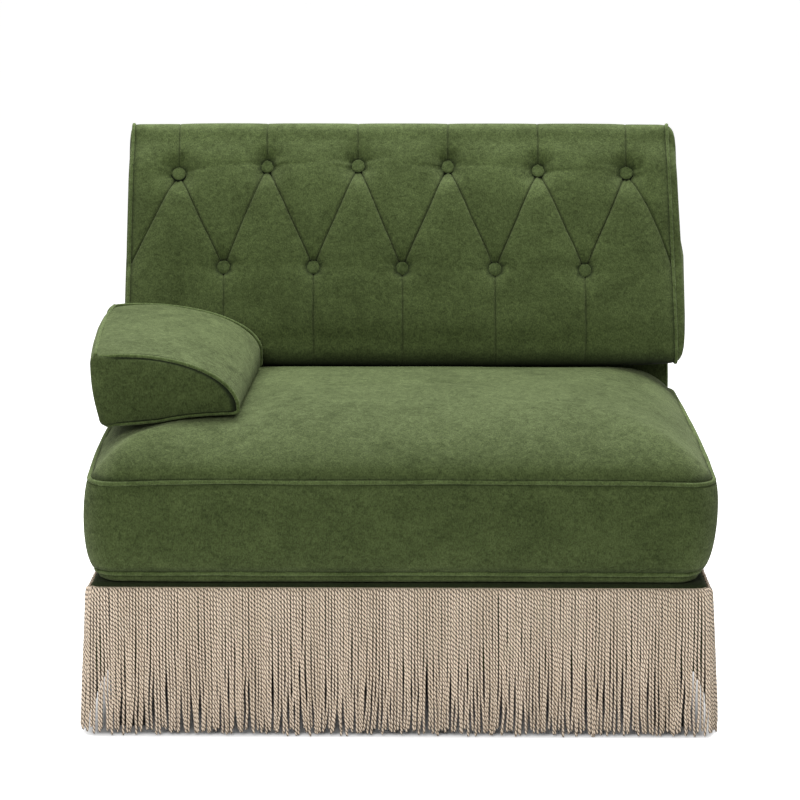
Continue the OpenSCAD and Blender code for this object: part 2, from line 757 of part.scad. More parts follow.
// Back cushion: in its own frame u runs across, v up the rake from its bottom and w forward from its rear.
// Its side pipings lie against the back frame, and its bottom just clears the seat's crown.
crown_samples = 24;
cushion_edge_r = 24;    // rounding of the front face into the top and the bottom
piping_reach = small_piping_d / 2 * (1 + cos(side_lean)) + seam_gap;
cushion_gap = lift_gap + piping_reach;
cushion_rest = max([for (i = [0:crown_samples])
    let (w = cushion_t * i / crown_samples, ahead = w + cushion_gap,
         inset = seat_pipe_y1 - (back_front_y - ahead * cos(back_rake)),
         lift = cushion_rear_lift * (1 - clamp(w / (cushion_t - cushion_edge_r))))
        (seat_high(max(0, inset)) - back_bend_z - ahead * sin(back_rake)) / cos(back_rake) - lift
    ]) + soft_gap;

function cushion_at(u, v, w) =
    let (p = back_at(cushion_rest + v, -w - cushion_gap)) [u, front_y + p[0], p[1]];

cushion_foot_out = 1;   // how far the bottom piping stands out past the base
tuft_columns = 10;      // columns of the face from one upper button to the next
tuft_rows = 5;          // rows of the face between the two rows of buttons
face_columns = tuft_count * tuft_columns;
tuft_high_v = cushion_h - tuft_top_in;
tuft_low_v = tuft_high_v - tuft_row_gap;
side_run = 55;          // run over which the face swells in from the side piping
face_rows = concat(
    [for (k = [2:-1:1]) mix(tuft_high_v, cushion_h - cushion_edge_r, k / 2)],
    [for (k = [0:tuft_rows]) mix(tuft_high_v, tuft_low_v, k / tuft_rows)],
    [for (k = [1:3]) mix(tuft_low_v, cushion_edge_r, k / 3)]);

function cushion_half(v) = half_w + mix(cushion_foot_out, -cushion_top_in, clamp(v / cushion_h));

// Distance, in columns, from column i to the nearest pleat at height v
function pleat_distance(i, v) = abs(
    abs(i % tuft_columns - tuft_columns / 2) - tuft_columns / 2 * clamp((tuft_high_v - v) / tuft_row_gap));

function level_with(v, row_v) = abs(v - row_v) < soft_gap;
function on_button(i, v) = i > 0 && i < face_columns &&
    (i % tuft_columns == tuft_columns / 2 && level_with(v, tuft_high_v)
        || i % tuft_columns == 0 && level_with(v, tuft_low_v));

// Share of the swell that is reached at column i, away from the side seams
function side_rise(i) = 1 - exp(-min(i, face_columns - i) / face_columns * base_w / side_run);

// Depth of the front face at column i and height v: swell, less the pleats and the dimples
function face_w(i, v) =
    let (side = side_rise(i),
         arch = sin(180 * clamp(v / cushion_h)),
         pleat = pleat_depth * (1 - clamp(pleat_distance(i, v) / (tuft_columns / 4))))
    cushion_t + (cushion_swell * arch + pleat_depth) * side - (on_button(i, v) ? tuft_depth : pleat * side);

// One ring of the cushion, round its bottom, rear, top and face, at column i
function cushion_ring(i) =
    let (share = 2 * i / face_columns - 1, rear_in = cushion_edge_r / 6, r = cushion_edge_r,
         low_w = face_w(i, cushion_edge_r), high_w = face_w(i, cushion_h - cushion_edge_r),
         in = r * 3 / 10, rear_w = -piping_reach * side_rise(i),
         loop = concat([[in, low_w - in], [0, low_w - r], [cushion_rear_lift, rear_w],
                        [cushion_h - rear_in, rear_w],
                        [cushion_h, high_w - r], [cushion_h - in, high_w - in]],
                       [for (v = face_rows) [v, face_w(i, v)]]))
    [for (p = loop) cushion_at(share * cushion_half(p[0]), p[0], p[1])];

// The side panels swell out past the piping
function cushion_cap(side, k) =
    let (ring = cushion_ring(side > 0 ? face_columns : 0), middle = centre_of(ring),
         shrink = panel_shrink_shares[k], out = panel_out_shares[k] * cushion_side_swell)
    [for (p = ring) [p[0] + side * out, mix(p[1], middle[1], shrink), mix(p[2], middle[2], shrink)]];

panel_shrink_shares = [0.1, 0.3, 0.65];
panel_out_shares = [0.5, 0.87, 1];
// Spans of the face where the pleats rise from a lower button to the next upper one
rising_spans = [for (i = [0:face_columns - 1])
    if (i % tuft_columns < tuft_columns / 2) i + len(panel_out_shares)];

module cushion_form() {
    ring_solid(concat(
        [for (k = [2:-1:0]) cushion_cap(-1, k)],
        [for (i = [0:face_columns]) cushion_ring(i)],
        [for (k = [0:2]) cushion_cap(1, k)]),
        rising_spans);
}

foam_side_in = 26;
foam_end_in = 22;
foam_low_v = cushion_rear_lift + wrap_t;
foam_front_in = 48;
foam_rear_in = 14;
tie_d = 3;
washer_d = 25;
washer_t = 2;

// Places its children at each button, with +Z pointing forward out of the cushion and z = 0 at the rear
module at_tufts() {
    for (i = [0:face_columns]) for (v = [tuft_low_v, tuft_high_v]) if (on_button(i, v))
        let ($face_w = face_w(i, v), at = cushion_at((2 * i / face_columns - 1) * cushion_half(v), v, 0))
            translate(at) rotate([90 - back_rake, 0, 0]) children();
}

module cushion_core(gap) {
    translate(cushion_at(0, 0, 0)) rotate([-back_rake, 0, 0])
        block(foam_side_in + gap - half_w, foam_front_in + gap - cushion_t, foam_low_v + gap,
            half_w - foam_side_in - gap, -foam_rear_in - gap, cushion_h - foam_end_in - gap);
}

tie_low_w = foam_rear_in + soft_gap + washer_t;
pocket_turn = 11;

module back_cushion_cover() {
    color(velvet) difference() {
        cushion_form();
        cushion_core(0);
        at_tufts() rotate([0, 0, pocket_turn]) {
            translate([0, 0, cushion_t - foam_front_in])
                cylinder(d = tie_d + 2 * soft_gap, h = foam_front_in + cushion_swell, $fn = bore_fn);
            translate([0, 0, $face_w - soft_gap])
                cylinder(d = button_d + 2 * soft_gap, h = tuft_depth + cushion_swell, $fn = bore_fn);
        }
    }
}

module back_cushion_foam() {
    color(foam_cream) difference() {
        cushion_core(soft_gap);
        at_tufts() {
            cylinder(d = tie_d + 2 * soft_gap, h = cushion_t, $fn = bore_fn);
            cylinder(d = washer_d + 2 * soft_gap, h = tie_low_w + soft_gap, $fn = bore_fn);
        }
    }
}

module tuft_washers() {
    color(black_lacquer) at_tufts() translate([0, 0, foam_rear_in + soft_gap])
        cylinder(d = washer_d, h = washer_t, $fn = bore_fn);
}

module tuft_ties() {
    color(cord_colour) at_tufts() translate([0, 0, tie_low_w])
        cylinder(d = tie_d, h = $face_w - tie_low_w, $fn = bore_fn);
}

module tuft_buttons() {
    rim = 1.5;
    color(velvet) at_tufts() translate([0, 0, $face_w]) rotate_extrude($fn = bore_fn)
        polygon(concat([[0, 0], [button_d / 2 - rim, 0]],
            [for (step = [0:corner_steps]) let (angle = 90 * step / corner_steps)
                [button_d / 2 * cos(angle), rim + (button_h - rim) * sin(angle)]]));
}

module cushion_piping(side) {
    color(velvet)
        piping(cushion_ring(side > 0 ? face_columns : 0), [1, 0, 0], small_piping_d, side * side_lean);
}

// Arm bolster: a D-shaped roll whose underside lies on the seat's crown

bolster_x = -half_w - bolster_overhang;
bolster_gap_y = 3;
bolster_corner_r = 12;
bolster_side_swell = 8;
bolster_arc_steps = 9;
bolster_foot_steps = 9;
side_shares = [0.3, 0.6];
bolster_tip_h = 5;
bolster_tip_x = bolster_x + bolster_w;
bolster_tip_z = seat_high(seat_pipe_x + bolster_tip_x) + soft_gap + piping_reach;
bolster_foot_z = bolster_tip_z - bolster_hang;
bolster_top_z = bolster_foot_z + bolster_h;
bolster_rear_y = back_at(cushion_rest, -cushion_t - cushion_gap)[0] - bolster_gap_y - cushion_swell;
bolster_front_y = bolster_rear_y - bolster_l;
bolster_rear_pipe_y = bolster_rear_y - bolster_end_swell;
bolster_front_pipe_y = bolster_front_y + bolster_end_swell;

function bolster_foot(x) = max(
    mix(bolster_foot_z, bolster_tip_z, clamp((x - bolster_x) / bolster_w)),
    seat_high(max(0, seat_pipe_x + x)) + soft_gap + piping_reach);

// Outline in x and z, from the tip over the curved top, down the flat side and back under
function bolster_outline(inset) =
    let (arc_x = bolster_x + bolster_top_w, r = bolster_corner_r,
         x0 = bolster_x + inset, foot_x0 = x0 + bolster_lean,
         arc_w = bolster_w - bolster_top_w - inset, arc_z = bolster_tip_z + bolster_tip_h + inset,
         arc_h = bolster_top_z - arc_z - inset, low = bolster_foot_z + inset, high = bolster_top_z - inset)
    concat(
        [for (step = [0:bolster_arc_steps]) let (angle = 90 * step / bolster_arc_steps)
            [arc_x + arc_w * cos(angle), arc_z + arc_h * sin(angle)]],
        [for (step = [0:3]) [x0 + r, high - r] + r * heading(90 + 30 * step)],
        inset > 0 ? [] : [for (share = side_shares)
            [x0 + bolster_lean * share - bolster_side_swell * sin(180 * share), mix(high, low, share)]],
        [for (step = [0:3]) [foot_x0 + r, low + r] + r * heading(180 + 30 * step)],
        [for (step = [1:bolster_foot_steps])
            let (x = mix(foot_x0 + r, bolster_tip_x - inset - bolster_tip_h, step / bolster_foot_steps))
                [x, bolster_foot(x) + inset]]);

function bolster_ring(shrink, y, swell) =
    let (outline = bolster_outline(0), middle = centre_of(outline))
    [for (p = outline)
        let (z = p[1] + (p[1] > middle[1] ? swell * bolster_swell : -swell * piping_reach))
            [mix(p[0], middle[0], shrink), front_y + y, mix(z, middle[1], shrink)]];

// The shape of an end panel, from its middle to its seam, and of the band between the two seams
function bolster_end(side, k) =
    let (pull = (1 - end_out_shares[k]) * bolster_end_swell)
    bolster_ring(end_shrink_shares[k], side > 0 ? bolster_front_y + pull : bolster_rear_y - pull, 0);
function bolster_band(band) =
    bolster_ring(0, mix(bolster_rear_pipe_y, bolster_front_pipe_y, band[0]), band[1]);

end_shrink_shares = [0.6, 0.3, 0.1];
end_out_shares = [1, 0.85, 0.5];
band_shares = [[0, 0], [0.1, 0.8], [0.35, 1], [0.65, 1], [0.9, 0.8], [1, 0]];

module bolster_form() {
    ring_solid(concat(
        [for (k = [0:2]) bolster_end(-1, k)],
        [for (band = band_shares) bolster_band(band)],
        [for (k = [2:-1:0]) bolster_end(1, k)]));
}

module bolster_core(gap) {
    from_front() translate([0, bolster_rear_pipe_y - wrap_t - gap, 0]) rotate([90, 0, 0])
        linear_extrude(bolster_rear_pipe_y - bolster_front_pipe_y - 2 * wrap_t - 2 * gap)
            polygon(bolster_outline(wrap_t + gap));
}

module bolster_cover() {
    color(velvet) difference() {
        bolster_form();
        bolster_core(0);
    }
}

module bolster_foam() { color(foam_cream) bolster_core(soft_gap); }

module bolster_piping(y, side) {
    color(velvet) piping(bolster_ring(0, y, 0), [0, -1, 0], small_piping_d, side * side_lean);
}

front_rail();
rear_rail();
side_rail(-1);  // left_rail
side_rail(1);  // right_rail
gusset(-1);  // left_gusset
gusset(1);  // right_gusset
corner_blocks();
gusset_bolts();
seat_springs();
spring_clips();
deck_pad();
base_cover();
dust_cover();
foot(-foot_x, foot_front_y);  // front_left_foot
foot(foot_x, foot_front_y);  // front_right_foot
foot(-foot_x, foot_rear_y);  // rear_left_foot
foot(foot_x, foot_rear_y);  // rear_right_foot
foot_bolts();
foot_nuts();
foot_glides();
back_post(-1);  // left_back_post
back_post(1);  // right_back_post
back_lower_rail();
back_middle_rail();
back_top_rail();
back_straps();
back_pad();
rear_board();
back_cover();
fringe_tape();
front_fringe();
rear_fringe();
left_fringe();
right_fringe();
seat_cover();
seat_foam();
seat_top_piping();
seat_bottom_piping();
zip_tape();
zip_slider();
back_cushion_cover();
back_cushion_foam();
cushion_piping(-1);  // back_left_piping
cushion_piping(1);  // back_right_piping
tuft_buttons();
tuft_ties();
tuft_washers();
bolster_cover();
bolster_foam();
bolster_piping(bolster_front_pipe_y, 1);  // bolster_front_piping
bolster_piping(bolster_rear_pipe_y, -1);  // bolster_rear_piping
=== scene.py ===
"""One-arm lounge seat in green velvet with a twisted cord fringe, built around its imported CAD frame.

The seat, the back and the arm are loose padded pieces on an upholstered base. All sizes are in
metres, in the frame of the CAD model: +Z is up, the front faces -Y, the origin is on the floor.
"""

import logging
import math
from dataclasses import dataclass, field
from enum import Enum
from functools import cache
from typing import Callable, Optional, Sequence, Union

import bmesh
import bpy
import numpy as np
from mathutils import Matrix, Vector


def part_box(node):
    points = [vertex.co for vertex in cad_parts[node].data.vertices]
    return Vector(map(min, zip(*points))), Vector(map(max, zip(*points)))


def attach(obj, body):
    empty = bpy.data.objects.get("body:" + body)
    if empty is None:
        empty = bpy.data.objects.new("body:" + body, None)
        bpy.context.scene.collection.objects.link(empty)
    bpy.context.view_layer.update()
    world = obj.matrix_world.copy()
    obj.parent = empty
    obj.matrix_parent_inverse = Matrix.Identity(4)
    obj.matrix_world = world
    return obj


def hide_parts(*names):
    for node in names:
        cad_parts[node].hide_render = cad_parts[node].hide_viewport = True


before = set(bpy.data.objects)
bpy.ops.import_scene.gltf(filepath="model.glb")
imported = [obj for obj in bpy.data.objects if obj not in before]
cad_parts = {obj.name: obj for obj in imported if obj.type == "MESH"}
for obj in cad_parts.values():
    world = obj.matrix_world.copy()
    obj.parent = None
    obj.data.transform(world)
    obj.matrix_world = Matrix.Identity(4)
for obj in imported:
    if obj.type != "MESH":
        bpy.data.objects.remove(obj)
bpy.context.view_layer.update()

log = logging.getLogger("lounge_seat")

# Lines of the CAD model that the visual pieces share
FRONT_Y = -0.422572
REAR_Y = FRONT_Y + 0.790
HALF_W = 0.450
BASE_Z = 0.094
DECK_Z = 0.225
BASE_CORNER_R = 0.018
BASE_REAR_R = 0.005
BACK_FRONT_Y = FRONT_Y + 0.707
BACK_BEND_Z = 0.410
BACK_RAKE = math.radians(18)
BACK_PANEL_L = 0.330
BACK_PANEL_T = 0.058
CUSHION_REST = 0.00305
CUSHION_GAP = 0.0056
CUSHION_H = 0.408
CUSHION_T = 0.145

Mesh = tuple[np.ndarray, list[tuple[int, ...]]]
Socket = bpy.types.NodeSocket
Value = Union[Socket, float]
Colour = Union[Socket, tuple]


class Body(str, Enum):
    """The bodies that the visual pieces go along with."""

    FRAME = "frame"
    SEAT = "seat_cushion"
    BACK = "back_cushion"
    ARM = "arm_bolster"


class Side(int, Enum):
    """The two sides, seen from the front, as the sign of X."""

    LEFT = -1
    RIGHT = 1


# ---------------------------------------------------------------------------------------------
# Materials


class Nodes:
    """A thin layer over a node tree that adds and joins nodes."""

    def __init__(self, tree: bpy.types.NodeTree) -> None:
        """Keeps the tree of a material, a world or a node group."""
        self.tree = tree

    def add(self, kind: str, inputs: Optional[dict] = None,
            **settings: object) -> bpy.types.Node:
        """Adds one node.

        Args:
            kind: the node's type name.
            inputs: what each input is set to or joined to, by name or index.
            **settings: the node's own properties.

        Returns:
            The new node.
        """
        node = self.tree.nodes.new(kind)
        for name, value in settings.items():
            setattr(node, name, value)
        return self.feed(node, inputs or {})

    def feed(self, node: bpy.types.Node, inputs: dict) -> bpy.types.Node:
        """Sets or joins some inputs of a node.

        Args:
            node: the node.
            inputs: what each input is set to or joined to, by name or index.

        Returns:
            The same node.
        """
        for name, value in inputs.items():
            if isinstance(value, Socket):
                self.tree.links.new(value, node.inputs[name])
            else:
                node.inputs[name].default_value = value
        return node

    def math(self, operation: str, a: Value, b: Value = 0.0, c: Value = 0.0) -> Socket:
        """Adds a Math node and returns its output."""
        return self.add("ShaderNodeMath", {0: a, 1: b, 2: c}, operation=operation).outputs[0]

    def times(self, a: Value, b: Value) -> Socket:
        """Multiplies two values."""
        return self.math("MULTIPLY", a, b)

    def plus(self, a: Value, b: Value) -> Socket:
        """Adds two values."""
        return self.math("ADD", a, b)

    def mix(self, factor: Value, a: Colour, b: Colour, blend: str = "MIX") -> Socket:
        """Adds a colour Mix node and returns its output."""
        return self.add("ShaderNodeMix", {0: factor, 6: a, 7: b}, data_type="RGBA",
                        blend_type=blend).outputs[2]

    def noise(self, vector: Socket, scale: Value, detail: float = 2.0, distortion: float = 0.0,
              roughness: float = 0.5) -> Socket:
        """Adds a Noise Texture.

        Args:
            vector: the place at which it is read.
            scale: its scale.
            detail: how many finer layers it has.
            distortion: how far it is bent.
            roughness: how strong the finer layers are.

        Returns:
            Its factor.
        """
        return self.add("ShaderNodeTexNoise", {"Vector": vector, "Scale": scale, "Detail": detail,
                                               "Distortion": distortion,
                                               "Roughness": roughness}).outputs["Fac"]

    def spread(self, value: Value, low: float, high: float, to_low: float = 0.0,
               to_high: float = 1.0) -> Socket:
        """Adds a clamped Map Range node and returns its output."""
        return self.add("ShaderNodeMapRange", {0: value, 1: low, 2: high, 3: to_low, 4: to_high}).outputs[0]

    def stretched(self, vector: Socket, scale: tuple) -> Socket:
        """Scales a vector along its axes."""
        return self.add("ShaderNodeMapping", {"Vector": vector, "Scale": scale}).outputs[0]

    def attribute(self, name: str) -> Socket:
        """Reads a number that the mesh carries."""
        return self.add("ShaderNodeAttribute", attribute_name=name).outputs["Fac"]

    def group(self, build: Callable[[], bpy.types.NodeTree], inputs: dict) -> bpy.types.bpy_prop_collection:
        """Places a shared node group and returns its outputs."""
        return self.add("ShaderNodeGroup", inputs, node_tree=build()).outputs

    def bump(self, height: Value, strength: float, depth: float) -> Socket:
        """Turns a height into a normal."""
        return self.add("ShaderNodeBump", {"Height": height, "Strength": strength,
                                           "Distance": depth}).outputs[0]


class GroupTree(Nodes):
    """A node group with named inputs and outputs."""

    def __init__(self, name: str, inputs: dict[str, tuple[str, object]], outputs: dict[str, str],
                 kind: str = "ShaderNodeTree") -> None:
        """Makes the group.

        Args:
            name: its name.
            inputs: socket type and default of each input.
            outputs: socket type of each output.
            kind: the type of tree.
        """
        super().__init__(bpy.data.node_groups.new(name, kind))
        self.sockets = {}
        for label, (socket_kind, value) in inputs.items():
            socket = self.tree.interface.new_socket(label, in_out="INPUT",
                                                    socket_type="NodeSocket" + socket_kind)
            if value is not None:
                socket.default_value = value
            self.sockets[label] = socket.identifier
        for label, socket_kind in outputs.items():
            self.tree.interface.new_socket(label, in_out="OUTPUT", socket_type="NodeSocket" + socket_kind)
        self.given = self.add("NodeGroupInput").outputs

    def finish(self, outputs: dict) -> bpy.types.NodeTree:
        """Joins the group's outputs and returns its tree."""
        self.feed(self.add("NodeGroupOutput"), outputs)
        return self.tree


def linear(red: int, green: int, blue: int) -> tuple[float, float, float, float]:
    """Turns a colour of 0 to 255 a channel into scene-linear values.

    Args:
        red: the red channel.
        green: the green channel.
        blue: the blue channel.

    Returns:
        The colour with an alpha of 1.
    """
    def one(channel: int) -> float:
        """Turns one channel."""
        share = channel / 255
        return share / 12.92 if share <= 0.04045 else ((share + 0.055) / 1.055) ** 2.4
    return one(red), one(green), one(blue), 1.0


@cache
def pile_group() -> bpy.types.NodeTree:
    """Builds the short pile of a velvet: brushed patches, fine grain and a height.

    Returns:
        The group, which reads object coordinates.
    """
    nodes = GroupTree("pile", {"Vector": ("Vector", None), "Patch Scale": ("Float", 9.0),
                               "Grain Scale": ("Float", 560.0)},
                      {"Patches": "Float", "Grain": "Float", "Height": "Float"})
    place, patch_scale = nodes.given["Vector"], nodes.given["Patch Scale"]
    drawn = nodes.stretched(place, (1.0, 0.8, 1.5))
    large = nodes.noise(drawn, patch_scale, 5.0, 0.9, 0.62)
    small = nodes.noise(drawn, nodes.times(patch_scale, 7.0), 3.0, 1.6, 0.6)
    brushed = nodes.stretched(place, (1.0, 1.0, 0.6))
    grain = nodes.noise(brushed, nodes.given["Grain Scale"], 2.0, 0.0, 0.7)
    coarse = nodes.noise(brushed, 190.0, 3.0, 0.6, 0.7)
    both = nodes.plus(nodes.times(large, 0.45), nodes.times(small, 0.55))
    fine = nodes.plus(nodes.times(grain, 0.7), nodes.times(coarse, 0.3))
    return nodes.finish({"Patches": nodes.spread(both, 0.34, 0.62), "Grain": nodes.spread(fine, 0.36, 0.64),
                         "Height": nodes.plus(fine, nodes.times(small, 0.8))})


@cache
def weave_group() -> bpy.types.NodeTree:
    """Builds a plain weave: threads over and under along two axes.

    Returns:
        The group, which reads object coordinates.
    """
    nodes = GroupTree("weave", {"Vector": ("Vector", None), "Threads": ("Float", 900.0)},
                      {"Over": "Float", "Height": "Float"})
    place, threads = nodes.given["Vector"], nodes.given["Threads"]
    x, y, z = nodes.add("ShaderNodeSeparateXYZ", {0: place}).outputs
    along = nodes.math("SINE", nodes.times(nodes.plus(x, y), threads))
    up = nodes.math("SINE", nodes.times(nodes.math("SUBTRACT", z, y), threads))
    over = nodes.spread(nodes.times(along, up), -1.0, 1.0)
    fuzz = nodes.noise(place, 1500.0)
    return nodes.finish({"Over": over, "Height": nodes.math("MULTIPLY_ADD", fuzz, 0.3, over)})


@cache
def wear_group() -> bpy.types.NodeTree:
    """Builds dust and light wear: cloudy marks and fine scratches.

    Returns:
        The group, which reads object coordinates.
    """
    nodes = GroupTree("wear", {"Vector": ("Vector", None), "Scale": ("Float", 20.0)},
                      {"Clouds": "Float", "Scratches": "Float"})
    place = nodes.given["Vector"]
    clouds = nodes.noise(place, nodes.given["Scale"], 6.0)
    scratch = nodes.noise(nodes.stretched(place, (1.0, 1.0, 14.0)), 60.0, 5.0, 0.4, 0.7)
    return nodes.finish({"Clouds": nodes.spread(clouds, 0.35, 0.7),
                         "Scratches": nodes.spread(scratch, 0.58, 0.7)})


@dataclass(frozen=True)
class Finish:
    """A finish of one kind of stuff; each kind paints its own nodes."""

    name: str

    def material(self) -> bpy.types.Material:
        """Makes the material, or finds it if it is there.

        Returns:
            The material.
        """
        label = self.name + "_finish"
        found = bpy.data.materials.get(label)
        if found:
            return found
        made = bpy.data.materials.new(label)
        made.use_nodes = True
        made.node_tree.nodes.clear()
        nodes = Nodes(made.node_tree)
        shader = nodes.add("ShaderNodeBsdfPrincipled")
        nodes.add("ShaderNodeOutputMaterial", {0: shader.outputs[0]})
        place = nodes.add("ShaderNodeTexCoord").outputs["Object"]
        nodes.feed(shader, self.paint(nodes, place))
        return made

    def paint(self, nodes: Nodes, place: Socket) -> dict[str, object]:
        """Adds the nodes of the finish.

        Args:
            nodes: the material's nodes.
            place: the object coordinates.

        Returns:
            What goes into the shader's inputs.
        """
        raise NotImplementedError


@dataclass(frozen=True)
class Velvet(Finish):
    """Cotton velvet with a short brushed pile; where the mesh says it lies deep in folds, it is painted as
    shade.
    """

    dark: tuple = linear(38, 48, 18)
    light: tuple = linear(50, 62, 25)
    # painted shade: the near-black that the cloth turns to deep in folds, seams and pockets
    deep: tuple = linear(13, 19, 8)
    sheen_tint: tuple = linear(230, 246, 188)
    sheen: float = 0.128
    sheen_roughness: float = 0.75
    bump_depth: float = 0.0009
    grain_shade: tuple = (0.62, 1.36)
    grain_sheen: tuple = (0.55, 1.4)
    patch_roughness: tuple = (0.95, 0.8)

    def paint(self, nodes: Nodes, place: Socket) -> dict[str, object]:
        """Mixes the pile's tones, darkens them as painted shade where the mesh marks folds, and adds its
        sheen and grain.

        Args:
            nodes: the material's nodes.
            place: the object coordinates.

        Returns:
            What goes into the shader's inputs.
        """
        pile = nodes.group(pile_group, {"Vector": place})
        patches, grain = pile["Patches"], pile["Grain"]
        shade = nodes.mix(patches, self.dark, self.light)
        shade = nodes.mix(1.0, shade, nodes.spread(grain, 0.0, 1.0, *self.grain_shade), "MULTIPLY")
        # painted shade: the mesh's share darkens the colour towards deep and takes away the sheen
        fold = nodes.attribute("fold")
        lying = nodes.times(nodes.spread(grain, 0.0, 1.0, *self.grain_sheen),
                            nodes.spread(patches, 0.0, 1.0, 0.65 * self.sheen, 1.35 * self.sheen))
        return {"Base Color": nodes.mix(fold, shade, self.deep),
                "Roughness": nodes.spread(patches, 0.0, 1.0, *self.patch_roughness),
                "Specular IOR Level": 0.12,
                "Sheen Weight": nodes.times(lying, nodes.math("SUBTRACT", 1.0, fold)),
                "Sheen Roughness": self.sheen_roughness, "Sheen Tint": self.sheen_tint,
                "Normal": nodes.bump(pile["Height"], 0.55, self.bump_depth)}


@dataclass(frozen=True)
class TwistedCord(Finish):
    """Rayon cord of two plies; its UV map runs round it and along it in metres."""

    light: tuple = linear(254, 234, 211)
    other_light: tuple = linear(244, 224, 200)
    # painted shade: dark is for the cord's edges where they turn away, groove for the grooves between the
    # plies
    dark: tuple = linear(16, 11, 6)
    groove: tuple = linear(88, 69, 48)
    sheen_tint: tuple = linear(255, 236, 205)
    mark_length: float = 0.0067
    plies: float = 2.0
    threads: int = 7

    def paint(self, nodes: Nodes, place: Socket) -> dict[str, object]:
        """Paints the plies as slanting ridges with painted shade in the grooves between them and at the
        cord's edges.

        Args:
            nodes: the material's nodes.
            place: the object coordinates.

        Returns:
            What goes into the shader's inputs.
        """
        number = nodes.attribute("number")

        def varied(pace: float, reach: float, middle: Value) -> Socket:
            """A value that differs from cord to cord."""
            return nodes.math("MULTIPLY_ADD", nodes.math("SINE", nodes.times(number, pace)), reach, middle)

        uv = nodes.add("ShaderNodeUVMap", uv_map="UVMap").outputs[0]
        round_it, along_it, _ = nodes.add("ShaderNodeSeparateXYZ", {0: uv}).outputs
        turns = nodes.times(round_it, self.plies)
        along = nodes.times(nodes.math("DIVIDE", along_it, self.mark_length), varied(7.31, 0.09, 1.0))
        phase = nodes.plus(nodes.math("SUBTRACT", turns, along), varied(12.9898, 43.7, 0.0))
        ridge = nodes.math("ABSOLUTE", nodes.math("SINE", nodes.times(phase, math.pi)))
        threads = nodes.math("SINE", nodes.times(phase, math.pi * 2 * self.threads))
        fibre = nodes.spread(nodes.noise(place, 900.0), 0.3, 0.7, 0.86, 1.0)
        tint = varied(31.1, 0.12, nodes.noise(place, 55.0, 3.0))
        light = nodes.mix(nodes.spread(tint, 0.35, 0.65), self.light, self.other_light)
        # painted shade: the grooves between the plies are mixed towards groove
        shade = nodes.mix(nodes.times(nodes.spread(ridge, 0.18, 0.70), fibre), self.groove, light)
        # painted shade: the cord's edges, as they turn away from view, darken towards dark except on the
        # ridges
        edge = nodes.add("ShaderNodeLayerWeight", {"Blend": 0.5}).outputs["Facing"]
        cord_edge_shade = nodes.times(nodes.spread(edge, 0.10, 0.55), nodes.spread(ridge, 0.35, 0.92, 1.0, 0.10))
        height = nodes.math("MULTIPLY_ADD", threads, 0.06, ridge)
        return {"Base Color": nodes.mix(cord_edge_shade, shade, self.dark), "Roughness": 0.62,
                "Specular IOR Level": 0.3, "Sheen Weight": 0.16, "Sheen Tint": self.sheen_tint,
                "Normal": nodes.bump(height, 1.0, 0.0018)}


@dataclass(frozen=True)
class WovenTape(Finish):
    """Woven tape or webbing: threads over and under."""

    over: tuple
    under: tuple
    threads: float = 2200.0

    def paint(self, nodes: Nodes, place: Socket) -> dict[str, object]:
        """Paints the weave.

        Args:
            nodes: the material's nodes.
            place: the object coordinates.

        Returns:
            What goes into the shader's inputs.
        """
        weave = nodes.group(weave_group, {"Vector": place, "Threads": self.threads})
        return {"Base Color": nodes.mix(weave["Over"], self.under, self.over), "Roughness": 0.85,
                "Specular IOR Level": 0.2, "Normal": nodes.bump(weave["Height"], 0.6, 0.0004)}


@dataclass(frozen=True)
class Lacquer(Finish):
    """Black lacquer on wood, with faint wear."""

    colour: tuple = linear(16, 16, 16)
    worn: tuple = linear(52, 46, 40)

    def paint(self, nodes: Nodes, place: Socket) -> dict[str, object]:
        """Paints a thin coat that is duller where it is worn.

        Args:
            nodes: the material's nodes.
            place: the object coordinates.

        Returns:
            What goes into the shader's inputs.
        """
        wear = nodes.group(wear_group, {"Vector": place, "Scale": 38.0})
        return {"Base Color": nodes.mix(nodes.times(wear["Scratches"], 0.35), self.colour, self.worn),
                "Roughness": nodes.spread(wear["Clouds"], 0.0, 1.0, 0.28, 0.48),
                "Normal": nodes.bump(wear["Clouds"], 0.15, 0.0004)}


@dataclass(frozen=True)
class Timber(Finish):
    """Sawn frame timber with growth rings and pores, drawn out along one axis."""

    early: tuple = linear(206, 170, 120)
    late: tuple = linear(160, 118, 72)
    along: tuple = (0.08, 1.0, 1.0)

    def paint(self, nodes: Nodes, place: Socket) -> dict[str, object]:
        """Paints rings that are drawn out along the grain.

        Args:
            nodes: the material's nodes.
            place: the object coordinates.

        Returns:
            What goes into the shader's inputs.
        """
        drawn = nodes.stretched(place, self.along)
        rings = nodes.math("SINE", nodes.times(nodes.noise(drawn, 14.0, 4.0, 0.3), 95.0))
        pores = nodes.noise(drawn, 900.0)
        factor = nodes.math("MULTIPLY_ADD", nodes.spread(rings, -0.4, 1.0), 0.75, nodes.times(pores, 0.25))
        return {"Base Color": nodes.mix(factor, self.early, self.late), "Roughness": 0.7,
                "Normal": nodes.bump(nodes.plus(rings, pores), 0.25, 0.0004)}


@dataclass(frozen=True)
class Plywood(Timber):
    """Plywood: the face veneer's grain, with plies in thin layers across X."""

    glue: tuple = linear(120, 84, 48)
    plies: float = 420.0

    def paint(self, nodes: Nodes, place: Socket) -> dict[str, object]:
        """Paints the veneer and darkens every other ply on the edges.

        Args:
            nodes: the material's nodes.
            place: the object coordinates.

        Returns:
            What goes into the shader's inputs.
        """
        veneer = super().paint(nodes, place)
        across = nodes.add("ShaderNodeSeparateXYZ", {0: place}).outputs[0]
        layers = nodes.math("SINE", nodes.times(across, self.plies * math.pi))
        ply = nodes.spread(layers, -0.1, 0.1, 0.0, 0.3)
        return {**veneer, "Base Color": nodes.mix(ply, veneer["Base Color"], self.glue)}


